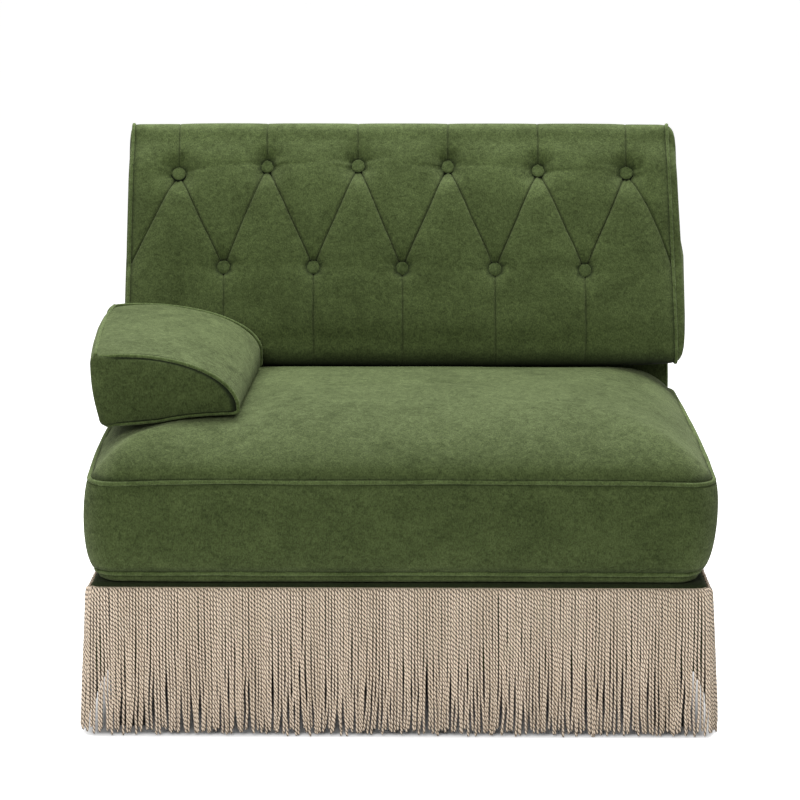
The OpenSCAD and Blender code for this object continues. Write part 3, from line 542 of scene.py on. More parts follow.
@dataclass(frozen=True)
class Metal(Finish):
    """Bare or plated steel with scuffs."""

    colour: tuple
    dull: tuple
    roughness: float = 0.32

    def paint(self, nodes: Nodes, place: Socket) -> dict[str, object]:
        """Paints a metal that is cloudy and scratched.

        Args:
            nodes: the material's nodes.
            place: the object coordinates.

        Returns:
            What goes into the shader's inputs.
        """
        wear = nodes.group(wear_group, {"Vector": place, "Scale": 70.0})
        rough = nodes.spread(wear["Scratches"], 0.0, 1.0, self.roughness, self.roughness + 0.2)
        return {"Base Color": nodes.mix(wear["Clouds"], self.colour, self.dull), "Metallic": 1.0,
                "Roughness": rough, "Normal": nodes.bump(wear["Scratches"], 0.12, 0.0002)}


@dataclass(frozen=True)
class Fibre(Finish):
    """Felt, foam or fleece: a matt stuff with specks and pores."""

    dark: tuple
    light: tuple
    scale: float = 300.0
    depth: float = 0.0008

    def paint(self, nodes: Nodes, place: Socket) -> dict[str, object]:
        """Paints specks over a soft cloudy colour.

        Args:
            nodes: the material's nodes.
            place: the object coordinates.

        Returns:
            What goes into the shader's inputs.
        """
        pores = nodes.add("ShaderNodeTexVoronoi", {"Vector": place, "Scale": self.scale}).outputs["Distance"]
        specks = nodes.noise(place, self.scale * 1.7, 3.0, 0.5)
        clouds = nodes.noise(place, self.scale / 25, 3.0)
        factor = nodes.math("MULTIPLY_ADD", specks, 0.6, nodes.times(clouds, 0.4))
        return {"Base Color": nodes.mix(nodes.spread(factor, 0.35, 0.65), self.dark, self.light),
                "Roughness": 0.95, "Specular IOR Level": 0.1,
                "Normal": nodes.bump(nodes.plus(pores, specks), 0.5, self.depth)}


VELVET = Velvet("velvet")
# painted light: a lighter copy of the velvet for the back cushion, partly for its pile laid the other way and
# partly standing in for the light that falls on the back
BACK_VELVET = Velvet("velvet_other_nap", linear(41, 51, 20), linear(54, 67, 28), sheen=0.135)
# painted light: the welts' velvet is lighter, standing in for the light that catches the welts
WELT_VELVET = Velvet("welt_velvet", linear(44, 56, 22), linear(62, 76, 36), sheen=0.16, bump_depth=0.0004)
CORD = TwistedCord("fringe_cord")
CORD_TAPE = WovenTape("fringe_tape_weave", linear(206, 190, 168), linear(150, 132, 110))
LACQUER = Lacquer("black_lacquer")
TIMBER = Timber("frame_timber")
TIMBER_DEEP = Timber("frame_timber_side", along=(1.0, 0.08, 1.0))
TIMBER_TALL = Timber("frame_timber_upright", along=(1.0, 1.0, 0.08))
PLYWOOD = Plywood("plywood", early=linear(216, 186, 142), late=linear(188, 150, 104))
ZINC = Metal("zinc_steel", linear(196, 198, 202), linear(150, 152, 156))
SPRING = Metal("spring_steel", linear(96, 98, 104), linear(60, 58, 58), 0.4)
ZIP_METAL = Metal("zip_metal", linear(176, 160, 122), linear(124, 112, 84), 0.3)
FELT = Fibre("felt", linear(84, 84, 86), linear(134, 132, 130), 420.0)
FOAM = Fibre("foam", linear(222, 210, 170), linear(240, 232, 200), 520.0)
STRAP = WovenTape("elastic_strap", linear(52, 52, 56), linear(22, 22, 24), 1800.0)
DUST_CLOTH = Fibre("dust_cloth", linear(26, 26, 27), linear(46, 46, 48), 900.0, 0.0003)
ZIP_CLOTH = WovenTape("zip_tape", linear(62, 78, 42), linear(36, 47, 24), 3600.0)
TWINE = WovenTape("twine", linear(214, 202, 178), linear(160, 146, 120), 4200.0)
PLASTIC = Lacquer("button_plastic", linear(30, 30, 31))


# ---------------------------------------------------------------------------------------------
# Meshes


def placed(name: str, data: bpy.types.ID) -> bpy.types.Object:
    """Puts an object with its data in the scene, at the origin.

    Args:
        name: the object's name.
        data: its mesh, curve, light or camera.

    Returns:
        The object.
    """
    made = bpy.data.objects.new(name, data)
    bpy.context.scene.collection.objects.link(made)
    return made


def mesh_piece(name: str, points: np.ndarray, faces: Sequence[Sequence[int]], finish: Finish,
               smooth: bool = True, merge: float = 0.0,
               fold: Optional[np.ndarray] = None) -> bpy.types.Object:
    """Makes an object at the origin from points and faces.

    Args:
        name: the piece's name.
        points: the vertices, in metres.
        faces: the corners of each face.
        finish: what it is made of.
        smooth: whether it is shaded smooth.
        merge: distance under which vertices are merged, or 0.
        fold: painted shade, 0 to 1, for how deep in folds each vertex lies; it darkens the cloth there.

    Returns:
        The new object, with its normals facing outwards.
    """
    mesh = bpy.data.meshes.new(name)
    mesh.from_pydata([tuple(p) for p in np.asarray(points, float)], [], [tuple(f) for f in faces])
    if fold is not None:
        layer = mesh.attributes.new("fold", "FLOAT", "POINT")
        layer.data.foreach_set("value", np.clip(fold, 0, 1).astype(np.float32))
    work = bmesh.new()
    work.from_mesh(mesh)
    if merge > 0:
        bmesh.ops.remove_doubles(work, verts=work.verts, dist=merge)
        bmesh.ops.dissolve_degenerate(work, edges=work.edges, dist=merge / 2)
    bmesh.ops.recalc_face_normals(work, faces=work.faces)
    for face in work.faces:
        face.smooth = smooth
    work.to_mesh(mesh)
    work.free()
    mesh.materials.append(finish.material())
    return placed(name, mesh)


def grid_faces(rows: int, columns: int) -> list[tuple[int, ...]]:
    """Quads between closed rings of points.

    Args:
        rows: how many rings there are.
        columns: how many points a ring has.

    Returns:
        The faces.
    """
    return [(r * columns + c, r * columns + (c + 1) % columns,
             (r + 1) * columns + (c + 1) % columns, (r + 1) * columns + c)
            for r in range(rows - 1) for c in range(columns)]


def fan(first: int, count: int, tip: int, flip: bool = False) -> list[tuple[int, ...]]:
    """Triangles from a closed ring of points to one point.

    Args:
        first: the index of the ring's first point.
        count: how many points it has.
        tip: the index of the point that they meet in.
        flip: whether they face the other way.

    Returns:
        The faces.
    """
    pairs = [(first + c, first + (c + 1) % count) for c in range(count)]
    return [(b, a, tip) if flip else (a, b, tip) for a, b in pairs]


def capped_rings(rings: Sequence[np.ndarray]) -> Mesh:
    """A closed shell through a stack of rings, with a point in the middle of each end.

    Args:
        rings: the points of each ring.

    Returns:
        Its points and faces.
    """
    count = len(rings[0])
    points = np.vstack([*rings, rings[0].mean(0)[None], rings[-1].mean(0)[None]])
    return points, (grid_faces(len(rings), count) + fan(0, count, len(points) - 2, True)
                    + fan((len(rings) - 1) * count, count, len(points) - 1))


def circle(count: int) -> np.ndarray:
    """Evenly spaced angles once round."""
    return np.arange(count) * 2 * math.pi / count


def tube(path: np.ndarray, radius: float, sides: int = 8, closed: bool = True,
         wobble: float = 0.0, seed: int = 1) -> Mesh:
    """A tube along a path, kept from twisting.

    Args:
        path: the points of its centre line.
        radius: half its thickness.
        sides: sides of its section.
        closed: whether the path is a loop.
        wobble: how much the thickness varies, as a share.
        seed: the seed of that variation.

    Returns:
        Its points and faces.
    """
    count = len(path)
    ahead = np.roll(path, -1, 0) - np.roll(path, 1, 0) if closed else np.gradient(path, axis=0)
    ahead /= np.linalg.norm(ahead, axis=1)[:, None]
    side = np.cross(ahead[0], (0.0, 0.0, 1.0))
    if np.linalg.norm(side) < 0.2:
        side = np.cross(ahead[0], (0.0, 1.0, 0.0))
    sides_of = []
    for direction in ahead:
        side = side - direction * (side @ direction)
        side /= np.linalg.norm(side)
        sides_of.append(side)
    sides_of = np.array(sides_of)
    others = np.cross(ahead, sides_of)
    rng = np.random.default_rng(seed)
    width = 1 + wobble * np.convolve(rng.normal(size=count + 8), np.ones(9) / 3, "valid")
    cos, sin = (wave(circle(sides))[None, :, None] for wave in (np.cos, np.sin))
    points = path[:, None] + radius * width[:, None, None] * (cos * sides_of[:, None] + sin * others[:, None])
    faces, last = grid_faces(count, sides), (count - 1) * sides
    if closed:
        # the loop closes on the corner that its frame has turned to
        shift = int(np.argmin(np.linalg.norm(points[0] - points[-1][0], axis=1)))
        faces += [(last + s, last + (s + 1) % sides, (s + 1 + shift) % sides, (s + shift) % sides)
                  for s in range(sides)]
    else:
        faces += [tuple(range(sides))[::-1], tuple(last + s for s in range(sides))]
    return points.reshape(-1, 3), faces


def joined(parts: Sequence[Mesh]) -> Mesh:
    """Puts several meshes in one.

    Args:
        parts: the points and faces of each.

    Returns:
        Their points and faces.
    """
    points, faces, first = [], [], 0
    for part_points, part_faces in parts:
        points.append(part_points)
        faces += [tuple(first + i for i in face) for face in part_faces]
        first += len(part_points)
    return np.vstack(points), faces


def smooth_noise(points: np.ndarray, scale: float, seed: int) -> np.ndarray:
    """A smooth random value at each point, from sums of slanting waves.

    Args:
        points: places in metres.
        scale: how many waves go in a metre.
        seed: which waves are drawn.

    Returns:
        Values of about -1 to 1.
    """
    rng = np.random.default_rng(seed)
    total = np.zeros(len(points))
    for _ in range(9):
        direction = rng.normal(size=3)
        direction *= 2 * math.pi * scale * rng.uniform(0.5, 1.5) / np.linalg.norm(direction)
        total += np.sin(points @ direction + rng.uniform(0, 2 * math.pi))
    return total / 4


def smoothstep(low: float, high: float, value: np.ndarray) -> np.ndarray:
    """A smooth step from 0 to 1 between low and high."""
    share = np.clip((value - low) / (high - low), 0, 1)
    return share * share * (3 - 2 * share)


def back_point(along: np.ndarray, depth: np.ndarray, x: np.ndarray) -> np.ndarray:
    """Points by their distance up the raked back from its bend and their depth behind its face.

    Args:
        along: distances up the rake.
        depth: depths behind the face.
        x: places across.

    Returns:
        The points.
    """
    sin, cos = math.sin(BACK_RAKE), math.cos(BACK_RAKE)
    return np.stack([x, BACK_FRONT_Y + along * sin + depth * cos,
                     BACK_BEND_Z + along * cos - depth * sin], axis=-1)


def cushion_point(u: np.ndarray, v: np.ndarray, w: np.ndarray) -> np.ndarray:
    """Points of the back cushion: u across, v up its rake and w forward from its rear."""
    return back_point(CUSHION_REST + v, -w - CUSHION_GAP, u)


def node_copy(node: str, name: str, finish: Finish, bevel: float = 0.0, segments: int = 2,
              shrink: float = 0.0) -> bpy.types.Object:
    """Copies a soft CAD solid as a fuller piece: merged, with its edges rounded.

    Args:
        node: the CAD node.
        name: the new piece's name.
        finish: what it is made of.
        bevel: radius of its edges, or 0.
        segments: segments of that radius.
        shrink: how far it is drawn in all round, or 0.

    Returns:
        The new piece.
    """
    flat_turn, sharp_turn, smooth_turn = (math.radians(angle) for angle in (1, 30, 40))
    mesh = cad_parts[node].data.copy()
    mesh.name = name
    mesh.materials.clear()
    mesh.materials.append(finish.material())
    work = bmesh.new()
    work.from_mesh(mesh)
    bmesh.ops.remove_doubles(work, verts=work.verts, dist=1e-6)
    flat = [e for e in work.edges if len(e.link_faces) == 2 and e.calc_face_angle(0) < flat_turn]
    bmesh.ops.dissolve_edges(work, edges=flat, use_verts=True)
    if bevel > 0:
        sharp = [e for e in work.edges if len(e.link_faces) == 2 and e.calc_face_angle(0) > sharp_turn]
        bmesh.ops.bevel(work, geom=sharp, offset=bevel, segments=segments, profile=0.5,
                        affect="EDGES", clamp_overlap=True)
    bmesh.ops.recalc_face_normals(work, faces=work.faces)
    if shrink > 0:
        low, high = (Vector([end(v.co[i] for v in work.verts) for i in range(3)]) for end in (min, max))
        middle, size = (low + high) / 2, high - low
        for vertex in work.verts:
            vertex.co = middle + Vector([(vertex.co[i] - middle[i]) * (1 - 2 * shrink / size[i])
                                         for i in range(3)])
    for face in work.faces:
        face.smooth = True
        face.material_index = 0
    for edge in work.edges:
        edge.smooth = edge.calc_face_angle(0) < smooth_turn
    work.to_mesh(mesh)
    work.free()
    return placed(name, mesh)


def settle(piece: bpy.types.Object, body: Body, nodes: Sequence[str] = ()) -> bpy.types.Object:
    """Attaches a finished piece to the body that it moves with, and hides the CAD nodes that it replaces.

    Args:
        piece: the finished piece.
        body: the body that it moves with.
        nodes: the CAD nodes that it stands for.

    Returns:
        The piece.
    """
    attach(piece, body.value)
    if nodes:
        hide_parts(*nodes)
    log.info("%s: %d faces on %s", piece.name, len(piece.data.polygons), body.value)
    return piece


def puff(piece: bpy.types.Object, held: np.ndarray, pressure: float, cap: float,
         frames: int = 20) -> None:
    """Lets the air pressure of a cloth simulation round a padded piece between its seams.

    Args:
        piece: the closed shell of the piece.
        held: how firmly each vertex is held, 0 to 1.
        pressure: the pressure inside.
        cap: how far a point may move.
        frames: how many steps are taken.
    """
    scene = bpy.context.scene
    group = piece.vertex_groups.new(name="held")
    for index in np.nonzero(held > 0.01)[0]:
        group.add([int(index)], float(held[index]), "REPLACE")
    cloth = piece.modifiers.new("puff", "CLOTH")
    for setting, value in (("quality", 4), ("mass", 0.4), ("tension_stiffness", 18),
                           ("compression_stiffness", 18), ("shear_stiffness", 6), ("bending_stiffness", 0.6),
                           ("use_pressure", True), ("uniform_pressure_force", pressure),
                           ("vertex_group_mass", group.name)):
        setattr(cloth.settings, setting, value)
    cloth.settings.effector_weights.gravity = 0.0
    cloth.collision_settings.use_collision = cloth.collision_settings.use_self_collision = False
    cloth.point_cache.frame_start, cloth.point_cache.frame_end = 1, frames
    for step in range(1, frames + 1):
        scene.frame_set(step)
    shape = piece.evaluated_get(bpy.context.evaluated_depsgraph_get()).to_mesh()
    moved = np.zeros(len(shape.vertices) * 3)
    shape.vertices.foreach_get("co", moved)
    rest = np.zeros(len(piece.data.vertices) * 3)
    piece.data.vertices.foreach_get("co", rest)
    moved, rest = moved.reshape(-1, 3), rest.reshape(-1, 3)
    piece.to_mesh_clear()
    step = moved - rest
    length = np.linalg.norm(step, axis=1)
    share = np.where(length > cap, cap / np.maximum(length, 1e-9), 1.0)
    log.info("%s puffed by up to %.1f mm", piece.name, float(length.max()) * 1000)
    piece.modifiers.remove(cloth)
    piece.vertex_groups.remove(group)
    piece.data.vertices.foreach_set("co", (rest + step * share[:, None]).ravel())
    piece.data.update()
    scene.frame_set(1)


# ---------------------------------------------------------------------------------------------
# Base


def rounded_plan(x: float, y0: float, y1: float, front_r: float, rear_r: float,
                 arc_steps: int = 8, side_steps: int = 24) -> np.ndarray:
    """Outline of a rounded rectangle about x = 0, anticlockwise from the right rear corner.

    Args:
        x: half its width.
        y0: its front.
        y1: its rear.
        front_r: radius of the front corners.
        rear_r: radius of the rear corners.
        arc_steps: steps on a corner.
        side_steps: steps on a side.

    Returns:
        Points in x and y.
    """
    corners = [((x - rear_r, y1 - rear_r), rear_r), ((rear_r - x, y1 - rear_r), rear_r),
               ((front_r - x, y0 + front_r), front_r), ((x - front_r, y0 + front_r), front_r)]
    points = []
    for k, (centre, radius) in enumerate(corners):
        angles = np.radians(90 * k + 90 * np.arange(arc_steps + 1) / arc_steps)
        arc = np.array(centre) + radius * np.stack([np.cos(angles), np.sin(angles)], -1)
        following, next_r = corners[(k + 1) % 4]
        turn = math.radians(90 * (k + 1))
        start = arc[-1]
        end = np.array(following) + next_r * np.array([math.cos(turn), math.sin(turn)])
        shares = np.arange(1, side_steps)[:, None] / side_steps
        points += [arc, start + (end - start) * shares]
    return np.vstack(points)


def at_x(line: np.ndarray, x: float) -> np.ndarray:
    """Puts a line in y and z at a place across."""
    return np.column_stack([np.full(len(line), x), line])


def at_height(outline: np.ndarray, z: Union[float, np.ndarray]) -> np.ndarray:
    """Lifts an outline in x and y to a height."""
    return np.column_stack([outline, np.full(len(outline), z) if np.isscalar(z) else z])


@dataclass
class Base:
    """The upholstered box: its velvet cover, dust cloth, pads and the carried-over timber."""

    cloth_t: float = 0.0018
    edge_r: float = 0.007
    least_r: float = 0.002
    hem_in: float = 0.024
    # painted shade on the deck's rim and top: the height where it starts, its run and how dark it gets
    shade_z: float = 0.2175
    shade_run: float = 0.004
    shade: float = 0.76
    even_in: float = 0.008
    staple_pitch: float = 0.034
    staple_in: float = 0.017

    def outline(self, inset: float) -> np.ndarray:
        """The base's outline, drawn in by an inset."""
        return rounded_plan(HALF_W - inset, FRONT_Y + inset, REAR_Y - inset,
                            *(max(self.least_r, radius - inset) for radius in (BASE_CORNER_R, BASE_REAR_R)))

    def cover(self) -> bpy.types.Object:
        """Makes the velvet over the rails and the deck, turned in under the rails.

        Returns:
            The cover.
        """
        rings = [at_height(self.outline(self.hem_in), BASE_Z + 0.0006)]
        rings += [at_height(self.outline(inset), BASE_Z + 0.0002 + 0.004 * (1 - math.cos(turn)))
                  for inset, turn in ((0.012, 0.0), (0.004, 0.0), (0.0012, 0.8), (0.0, 1.57))]
        wall = np.linspace(BASE_Z + 0.01, DECK_Z - self.edge_r, 12)
        rings += [at_height(self.outline(0.0), float(z)) for z in wall]
        for turn in np.radians([20, 42, 66, 90]):
            inset = self.edge_r * (1 - math.cos(turn))
            rings.append(at_height(self.outline(inset), DECK_Z - self.edge_r * (1 - math.sin(turn))))
        rings += [at_height(self.outline(inset), DECK_Z) for inset in (0.03, 0.08, 0.15, 0.25, 0.34)]
        count, last = len(rings[0]), (len(rings) - 1) * len(rings[0])
        points = np.vstack([*rings, rings[-1].mean(0)])
        faces = grid_faces(len(rings), count) + fan(last, count, len(points) - 1)
        wall_part = (points[:, 2] > BASE_Z + self.even_in) & (points[:, 2] < DECK_Z - self.even_in)
        slack = smooth_noise(points * np.array([1, 1, 0.3]), 7.0, 5) * 0.0005
        away = points[:, :2] / np.maximum(np.linalg.norm(points[:, :2], axis=1), 1e-6)[:, None]
        points[wall_part, :2] -= (away * np.abs(slack)[:, None])[wall_part]
        # painted shade: the rim and the top of the deck are darkened, where they lie in shadow under the seat
        # cushion
        fold = self.shade * smoothstep(self.shade_z, self.shade_z + self.shade_run, points[:, 2])
        piece = mesh_piece("base_velvet", points, faces, VELVET, fold=fold)
        solid = piece.modifiers.new("cloth", "SOLIDIFY")
        solid.thickness = self.cloth_t
        solid.offset = -1.0
        return applied(piece)

    def staples(self) -> bpy.types.Object:
        """Sets out the staples that hold the dust cloth by Geometry Nodes.

        Returns:
            The staples, as one piece.
        """
        outline = rounded_plan(HALF_W - self.staple_in, FRONT_Y + self.staple_in, REAR_Y - self.staple_in,
                               0.004, 0.004)
        leg = np.array([[0.005, 0, 0.001], [0.005, 0, -0.0002], [0.0046, 0, -0.0006]])
        wire = tube(np.vstack([leg * [-1, 1, 1], leg[::-1]]), 0.0004, 4, False)
        source = mesh_piece("staple_source", *wire, ZINC)
        return scattered("dust_cloth_staples", at_height(outline, BASE_Z - 0.0012), source,
                         self.staple_pitch, ZINC)

    def build(self) -> None:
        """Builds and settles the pieces of the base."""
        settle(self.cover(), Body.FRAME, ["base_cover"])
        dust = node_copy("dust_cover", "dust_cloth", DUST_CLOTH, 0.0003, 1)
        settle(dust, Body.FRAME, ["dust_cover"])
        settle(self.staples(), Body.FRAME)
        settle(node_copy("deck_pad", "deck_felt", FELT, 0.003), Body.FRAME, ["deck_pad"])
        settle(node_copy("foot_glides", "felt_glides", FELT, 0.0006), Body.FRAME,
               ["foot_glides"])


def plain_mesh(piece: bpy.types.Object) -> bpy.types.Mesh:
    """Makes a plain mesh of what a piece's modifiers give."""
    return bpy.data.meshes.new_from_object(piece.evaluated_get(bpy.context.evaluated_depsgraph_get()))


def applied(piece: bpy.types.Object) -> bpy.types.Object:
    """Turns a piece's modifiers into plain mesh.

    Args:
        piece: the piece.

    Returns:
        The same piece with its new mesh.
    """
    old, piece.data = piece.data, plain_mesh(piece)
    piece.modifiers.clear()
    piece.data.name = piece.name
    bpy.data.meshes.remove(old)
    return piece


# ---------------------------------------------------------------------------------------------
# Geometry Nodes


class GeometryTree(GroupTree):
    """A Geometry Nodes tree that sets pieces out along a path; its inputs have names."""

    def __init__(self, name: str, inputs: dict[str, tuple[str, object]]) -> None:
        """Makes the tree.

        Args:
            name: its name.
            inputs: socket type and default of each input beside the path, the pitch and the material.
        """
        super().__init__(name, {"Geometry": ("Geometry", None), "Pitch": ("Float", 0.03),
                                "Material": ("Material", None), **inputs},
                         {"Geometry": "Geometry"}, "GeometryNodeTree")

    def spaced(self) -> bpy.types.bpy_prop_collection:
        """Sets points out along the path, one pitch apart.

        Returns:
            The outputs of the points' node.
        """
        path = self.add("GeometryNodeResampleCurve",
                        {"Curve": self.given["Geometry"], "Length": self.given["Pitch"]}, mode="LENGTH")
        return self.add("GeometryNodeCurveToPoints", {"Curve": path.outputs[0]}, mode="EVALUATED").outputs

    def copied(self, source: str, points: Socket, settings: dict) -> Socket:
        """Puts a copy of a piece on each point, as real geometry.

        Args:
            source: the input that names the piece.
            points: the points.
            settings: how the copies are turned and scaled.

        Returns:
            The geometry.
        """
        part = self.add("GeometryNodeObjectInfo", {"Object": self.given[source]}).outputs["Geometry"]
        many = self.add("GeometryNodeInstanceOnPoints", {"Points": points, "Instance": part, **settings})
        return self.add("GeometryNodeRealizeInstances", {"Geometry": many.outputs[0]}).outputs[0]

    def painted(self, geometry: Socket) -> "GeometryTree":
        """Gives the last geometry its material and joins it to the output.

        Args:
            geometry: the geometry.

        Returns:
            This group, ready for use.
        """
        self.finish({"Geometry": self.add("GeometryNodeSetMaterial", {
            "Geometry": geometry, "Material": self.given["Material"]}).outputs[0]})
        return self

    def run(self, name: str, points: np.ndarray, closed: bool, values: dict) -> bpy.types.Object:
        """Runs the tree on a path and turns the result into a plain piece.

        Args:
            name: the new piece's name.
            points: the points of the path.
            closed: whether the path is a loop.
            values: the inputs, by name.

        Returns:
            The new piece.
        """
        curve = bpy.data.curves.new(name, "CURVE")
        curve.dimensions = "3D"
        line = curve.splines.new("POLY")
        line.points.add(len(points) - 1)
        line.points.foreach_set("co", np.column_stack([points, np.ones(len(points))]).ravel())
        line.use_cyclic_u = closed
        path = placed(name + "_path", curve)
        modifier = path.modifiers.new(self.tree.name, "NODES")
        modifier.node_group = self.tree
        for label, value in values.items():
            modifier[self.sockets[label]] = value
        made = placed(name, plain_mesh(path))
        bpy.data.objects.remove(path)
        return made


def scattered(name: str, path: np.ndarray, source: bpy.types.Object, pitch: float, finish: Finish,
              closed: bool = True) -> bpy.types.Object:
    """Sets a small piece out along a path, turned with it.

    Args:
        name: the name of the result.
        path: the points of the path.
        source: the small piece, lying along X.
        pitch: distance from one to the next.
        finish: what it is made of.
        closed: whether the path is a loop.

    Returns:
        One mesh piece with them all.
    """
    tree = GeometryTree(name + "_rule", {"Source": ("Object", None)})
    points = tree.spaced()
    turn = tree.add("FunctionNodeAlignRotationToVector", {"Vector": points["Tangent"]}, axis="X")
    tree.painted(tree.copied("Source", points["Points"], {"Rotation": turn.outputs[0]}))
    made = tree.run(name, path, closed, {"Source": source, "Pitch": pitch, "Material": finish.material()})
    bpy.data.objects.remove(source)
    return made


@dataclass
class Fringe:
    """The cords that hang round the base from a woven tape."""

    pitch: float = 0.0043
    cord_r: float = 0.00208
    top_z: float = 0.2203
    tip_z: float = 0.0006
    top_out: float = 0.0040
    rear_r: float = 0.010
    lean: float = 0.0104
    sides: int = 5
    rings: int = 9
    shortest: float = 0.945
    sway: float = 0.0056
    stray: float = 0.0048
    cord_gap: float = 0.0013
    group_gap: float = 0.0040
    tape_h: float = 0.012
    tape_out: float = 0.0028
    tape_z: float = 0.2206
    bulge: float = 0.0038
    bulge_run: float = 0.006
    side_drop: float = 0.0105
    arc_steps: int = 8
    side_steps: int = 24

    def lowered(self, outline: np.ndarray, z: float) -> np.ndarray:
        """Lifts an outline to a height that is a little lower behind the front corners."""
        drop = self.side_drop * smoothstep(FRONT_Y + 0.004, FRONT_Y + 0.030, outline[:, 1])
        return at_height(outline, z - drop)

    def cord(self) -> bpy.types.Object:
        """Makes one hanging cord, with a rounded end and a UV map round and along it.

        Returns:
            The cord, from which the fringe is copied.
        """
        drop = self.top_z - self.tip_z
        heights = np.concatenate([[0.0, 0.008], np.linspace(0.045, drop - 0.004, self.rings - 2),
                                  [drop - 0.0008]])
        widths = np.concatenate([np.full(self.rings, 1.0), [0.62]]) * self.cord_r
        points = [(r * math.cos(a), r * math.sin(a), -h) for h, r in zip(heights, widths)
                  for a in circle(self.sides)]
        points += [(0, 0, 0), (0, 0, -drop)]
        count, top, tip = len(heights), len(points) - 2, len(points) - 1
        faces = grid_faces(count, self.sides) + fan(0, self.sides, top, True) \
            + fan((count - 1) * self.sides, self.sides, tip)
        piece = mesh_piece("cord_source", np.array(points), faces, CORD)
        layer = piece.data.uv_layers.new(name="UVMap")
        for face in piece.data.polygons:
            corners = [(piece.data.loops[i].vertex_index, i) for i in face.loop_indices]
            rounds = [((v % self.sides) / self.sides if v < top else None) for v, _ in corners]
            known = [r for r in rounds if r is not None]
            wraps = max(known) - min(known) > 0.5
            for (vertex, loop), share in zip(corners, rounds):
                share = float(np.mean(known)) if share is None else share
                if wraps and share < 0.5:
                    share += 1.0
                layer.data[loop].uv = (share, -piece.data.vertices[vertex].co.z)
        return piece

    def rule(self) -> GeometryTree:
        """Makes the tree that sets the cords out along a path and lets them sway.

        Returns:
            The tree.
        """
        tree = GeometryTree("hanging_cords", {
            "Cord": ("Object", None), "Drop": ("Float", 0.22), "Lean": ("Float", 0.009),
            "Sway": ("Float", 0.004), "Stray": ("Float", 0.002), "Seed": ("Int", 3)})
        given, times, plus = tree.given, tree.times, tree.plus
        points = tree.spaced()
        stored, tangent = points["Points"], points["Tangent"]
        outward = tree.add("ShaderNodeVectorMath", {0: tangent, 1: (0.0, 0.0, 1.0)},
                           operation="CROSS_PRODUCT").outputs[0]
        number = times(tree.add("GeometryNodeInputIndex").outputs[0], 1.0)
        for label, kind, value in (("outward", "FLOAT_VECTOR", outward), ("tangent", "FLOAT_VECTOR", tangent),
                                   ("number", "FLOAT", number)):
            stored = tree.add("GeometryNodeStoreNamedAttribute",
                              {"Geometry": stored, "Name": label, "Value": value},
                              data_type=kind, domain="POINT").outputs[0]

        def drawn(low: float, high: float, seed: Socket) -> Socket:
            """A random number for each cord."""
            return tree.add("FunctionNodeRandomValue", {2: low, 3: high, "Seed": seed},
                            data_type="FLOAT").outputs[1]

        def level() -> Socket:
            """The height of each point."""
            place = tree.add("GeometryNodeInputPosition").outputs[0]
            return tree.add("ShaderNodeSeparateXYZ", {0: place}).outputs[2]

        def read(label: str, kind: str = "FLOAT_VECTOR") -> Socket:
            """Reads a stored attribute."""
            return tree.add("GeometryNodeInputNamedAttribute", {"Name": label}, data_type=kind).outputs[0]

        turned = tree.add("ShaderNodeCombineXYZ", {2: drawn(0.0, 6.283, given["Seed"])})
        length = drawn(self.shortest, 1.0, plus(given["Seed"], 7.0))
        reach = times(tree.math("DIVIDE", level(), self.top_z), length)
        scale = tree.add("ShaderNodeCombineXYZ", {0: 1.0, 1: 1.0, 2: reach})
        cords = tree.copied("Cord", stored, {"Rotation": turned.outputs[0], "Scale": scale.outputs[0]})
        number = read("number", "FLOAT")
        below = tree.math("DIVIDE", tree.math("SUBTRACT", self.top_z, level()), given["Drop"])
        below = tree.math("MAXIMUM", below, 0.0)
        seeded = times(given["Seed"], 31.7)

        def wave(pace: float, rise: float, shift: float) -> Socket:
            """A smooth random value of -0.5 to 0.5 that changes from cord to cord and along each.

            Args:
                pace: how fast it changes from cord to cord.
                rise: how fast it changes along a cord.
                shift: what sets this value apart from the others.

            Returns:
                The value.
            """
            spot = tree.add("ShaderNodeCombineXYZ", {0: times(number, pace), 1: times(below, rise),
                                                     2: plus(seeded, shift)}).outputs[0]
            return tree.math("SUBTRACT", tree.noise(spot, 1.0), 0.5)

        square = times(below, below)
        groups = times(wave(0.11, 0.6, 0.0), times(given["Sway"], 4.0))
        single = times(wave(3.7, 1.3, 40.0), times(given["Stray"], 4.0))
        ripple = times(wave(5.3, 6.0, 80.0), times(given["Stray"], 1.7))
        across = plus(times(groups, square), times(single, times(square, below)))
        spacing = plus(times(wave(3.1, 0.0, 160.0), self.cord_gap),
                       times(wave(0.23, 0.8, 200.0), self.group_gap))
        across = plus(plus(across, times(ripple, below)), spacing)
        depth = times(times(wave(2.9, 0.9, 120.0), given["Stray"]),
                      tree.math("MULTIPLY_ADD", square, 3.2, 0.35))
        out = tree.math("MULTIPLY_ADD", given["Lean"], below, depth)
        drop = times(below, tree.math("DIVIDE", given["Drop"], -self.bulge_run))
        rounded = tree.math("SUBTRACT", 1.0, tree.math("EXPONENT", drop))
        out = tree.math("MULTIPLY_ADD", rounded, self.bulge, out)
        push, slide = (tree.add("ShaderNodeVectorMath", {0: read(label), "Scale": value},
                                operation="SCALE").outputs[0]
                       for label, value in (("outward", out), ("tangent", across)))
        offset = tree.add("ShaderNodeVectorMath", {0: push, 1: slide}, operation="ADD").outputs[0]
        moved = tree.add("GeometryNodeSetPosition", {"Geometry": cords, "Offset": offset})
        return tree.painted(moved.outputs[0])

    def sides_of_base(self) -> dict[str, np.ndarray]:
        """Finds where the cords hang along each side, each with half of its two corners.

        Returns:
            The path of their tops, by the side's name.
        """
        outline = rounded_plan(HALF_W + self.top_out, FRONT_Y - self.top_out, REAR_Y + self.top_out,
                               BASE_CORNER_R + self.top_out, self.rear_r, self.arc_steps, self.side_steps)
        step = self.arc_steps + self.side_steps
        paths = {}
        for k, label in enumerate(("rear", "left", "front", "right")):
            start = k * step + (self.arc_steps + 1) // 2
            paths[label] = np.array([outline[(start + i) % len(outline)] for i in range(step + 1)])
        return paths

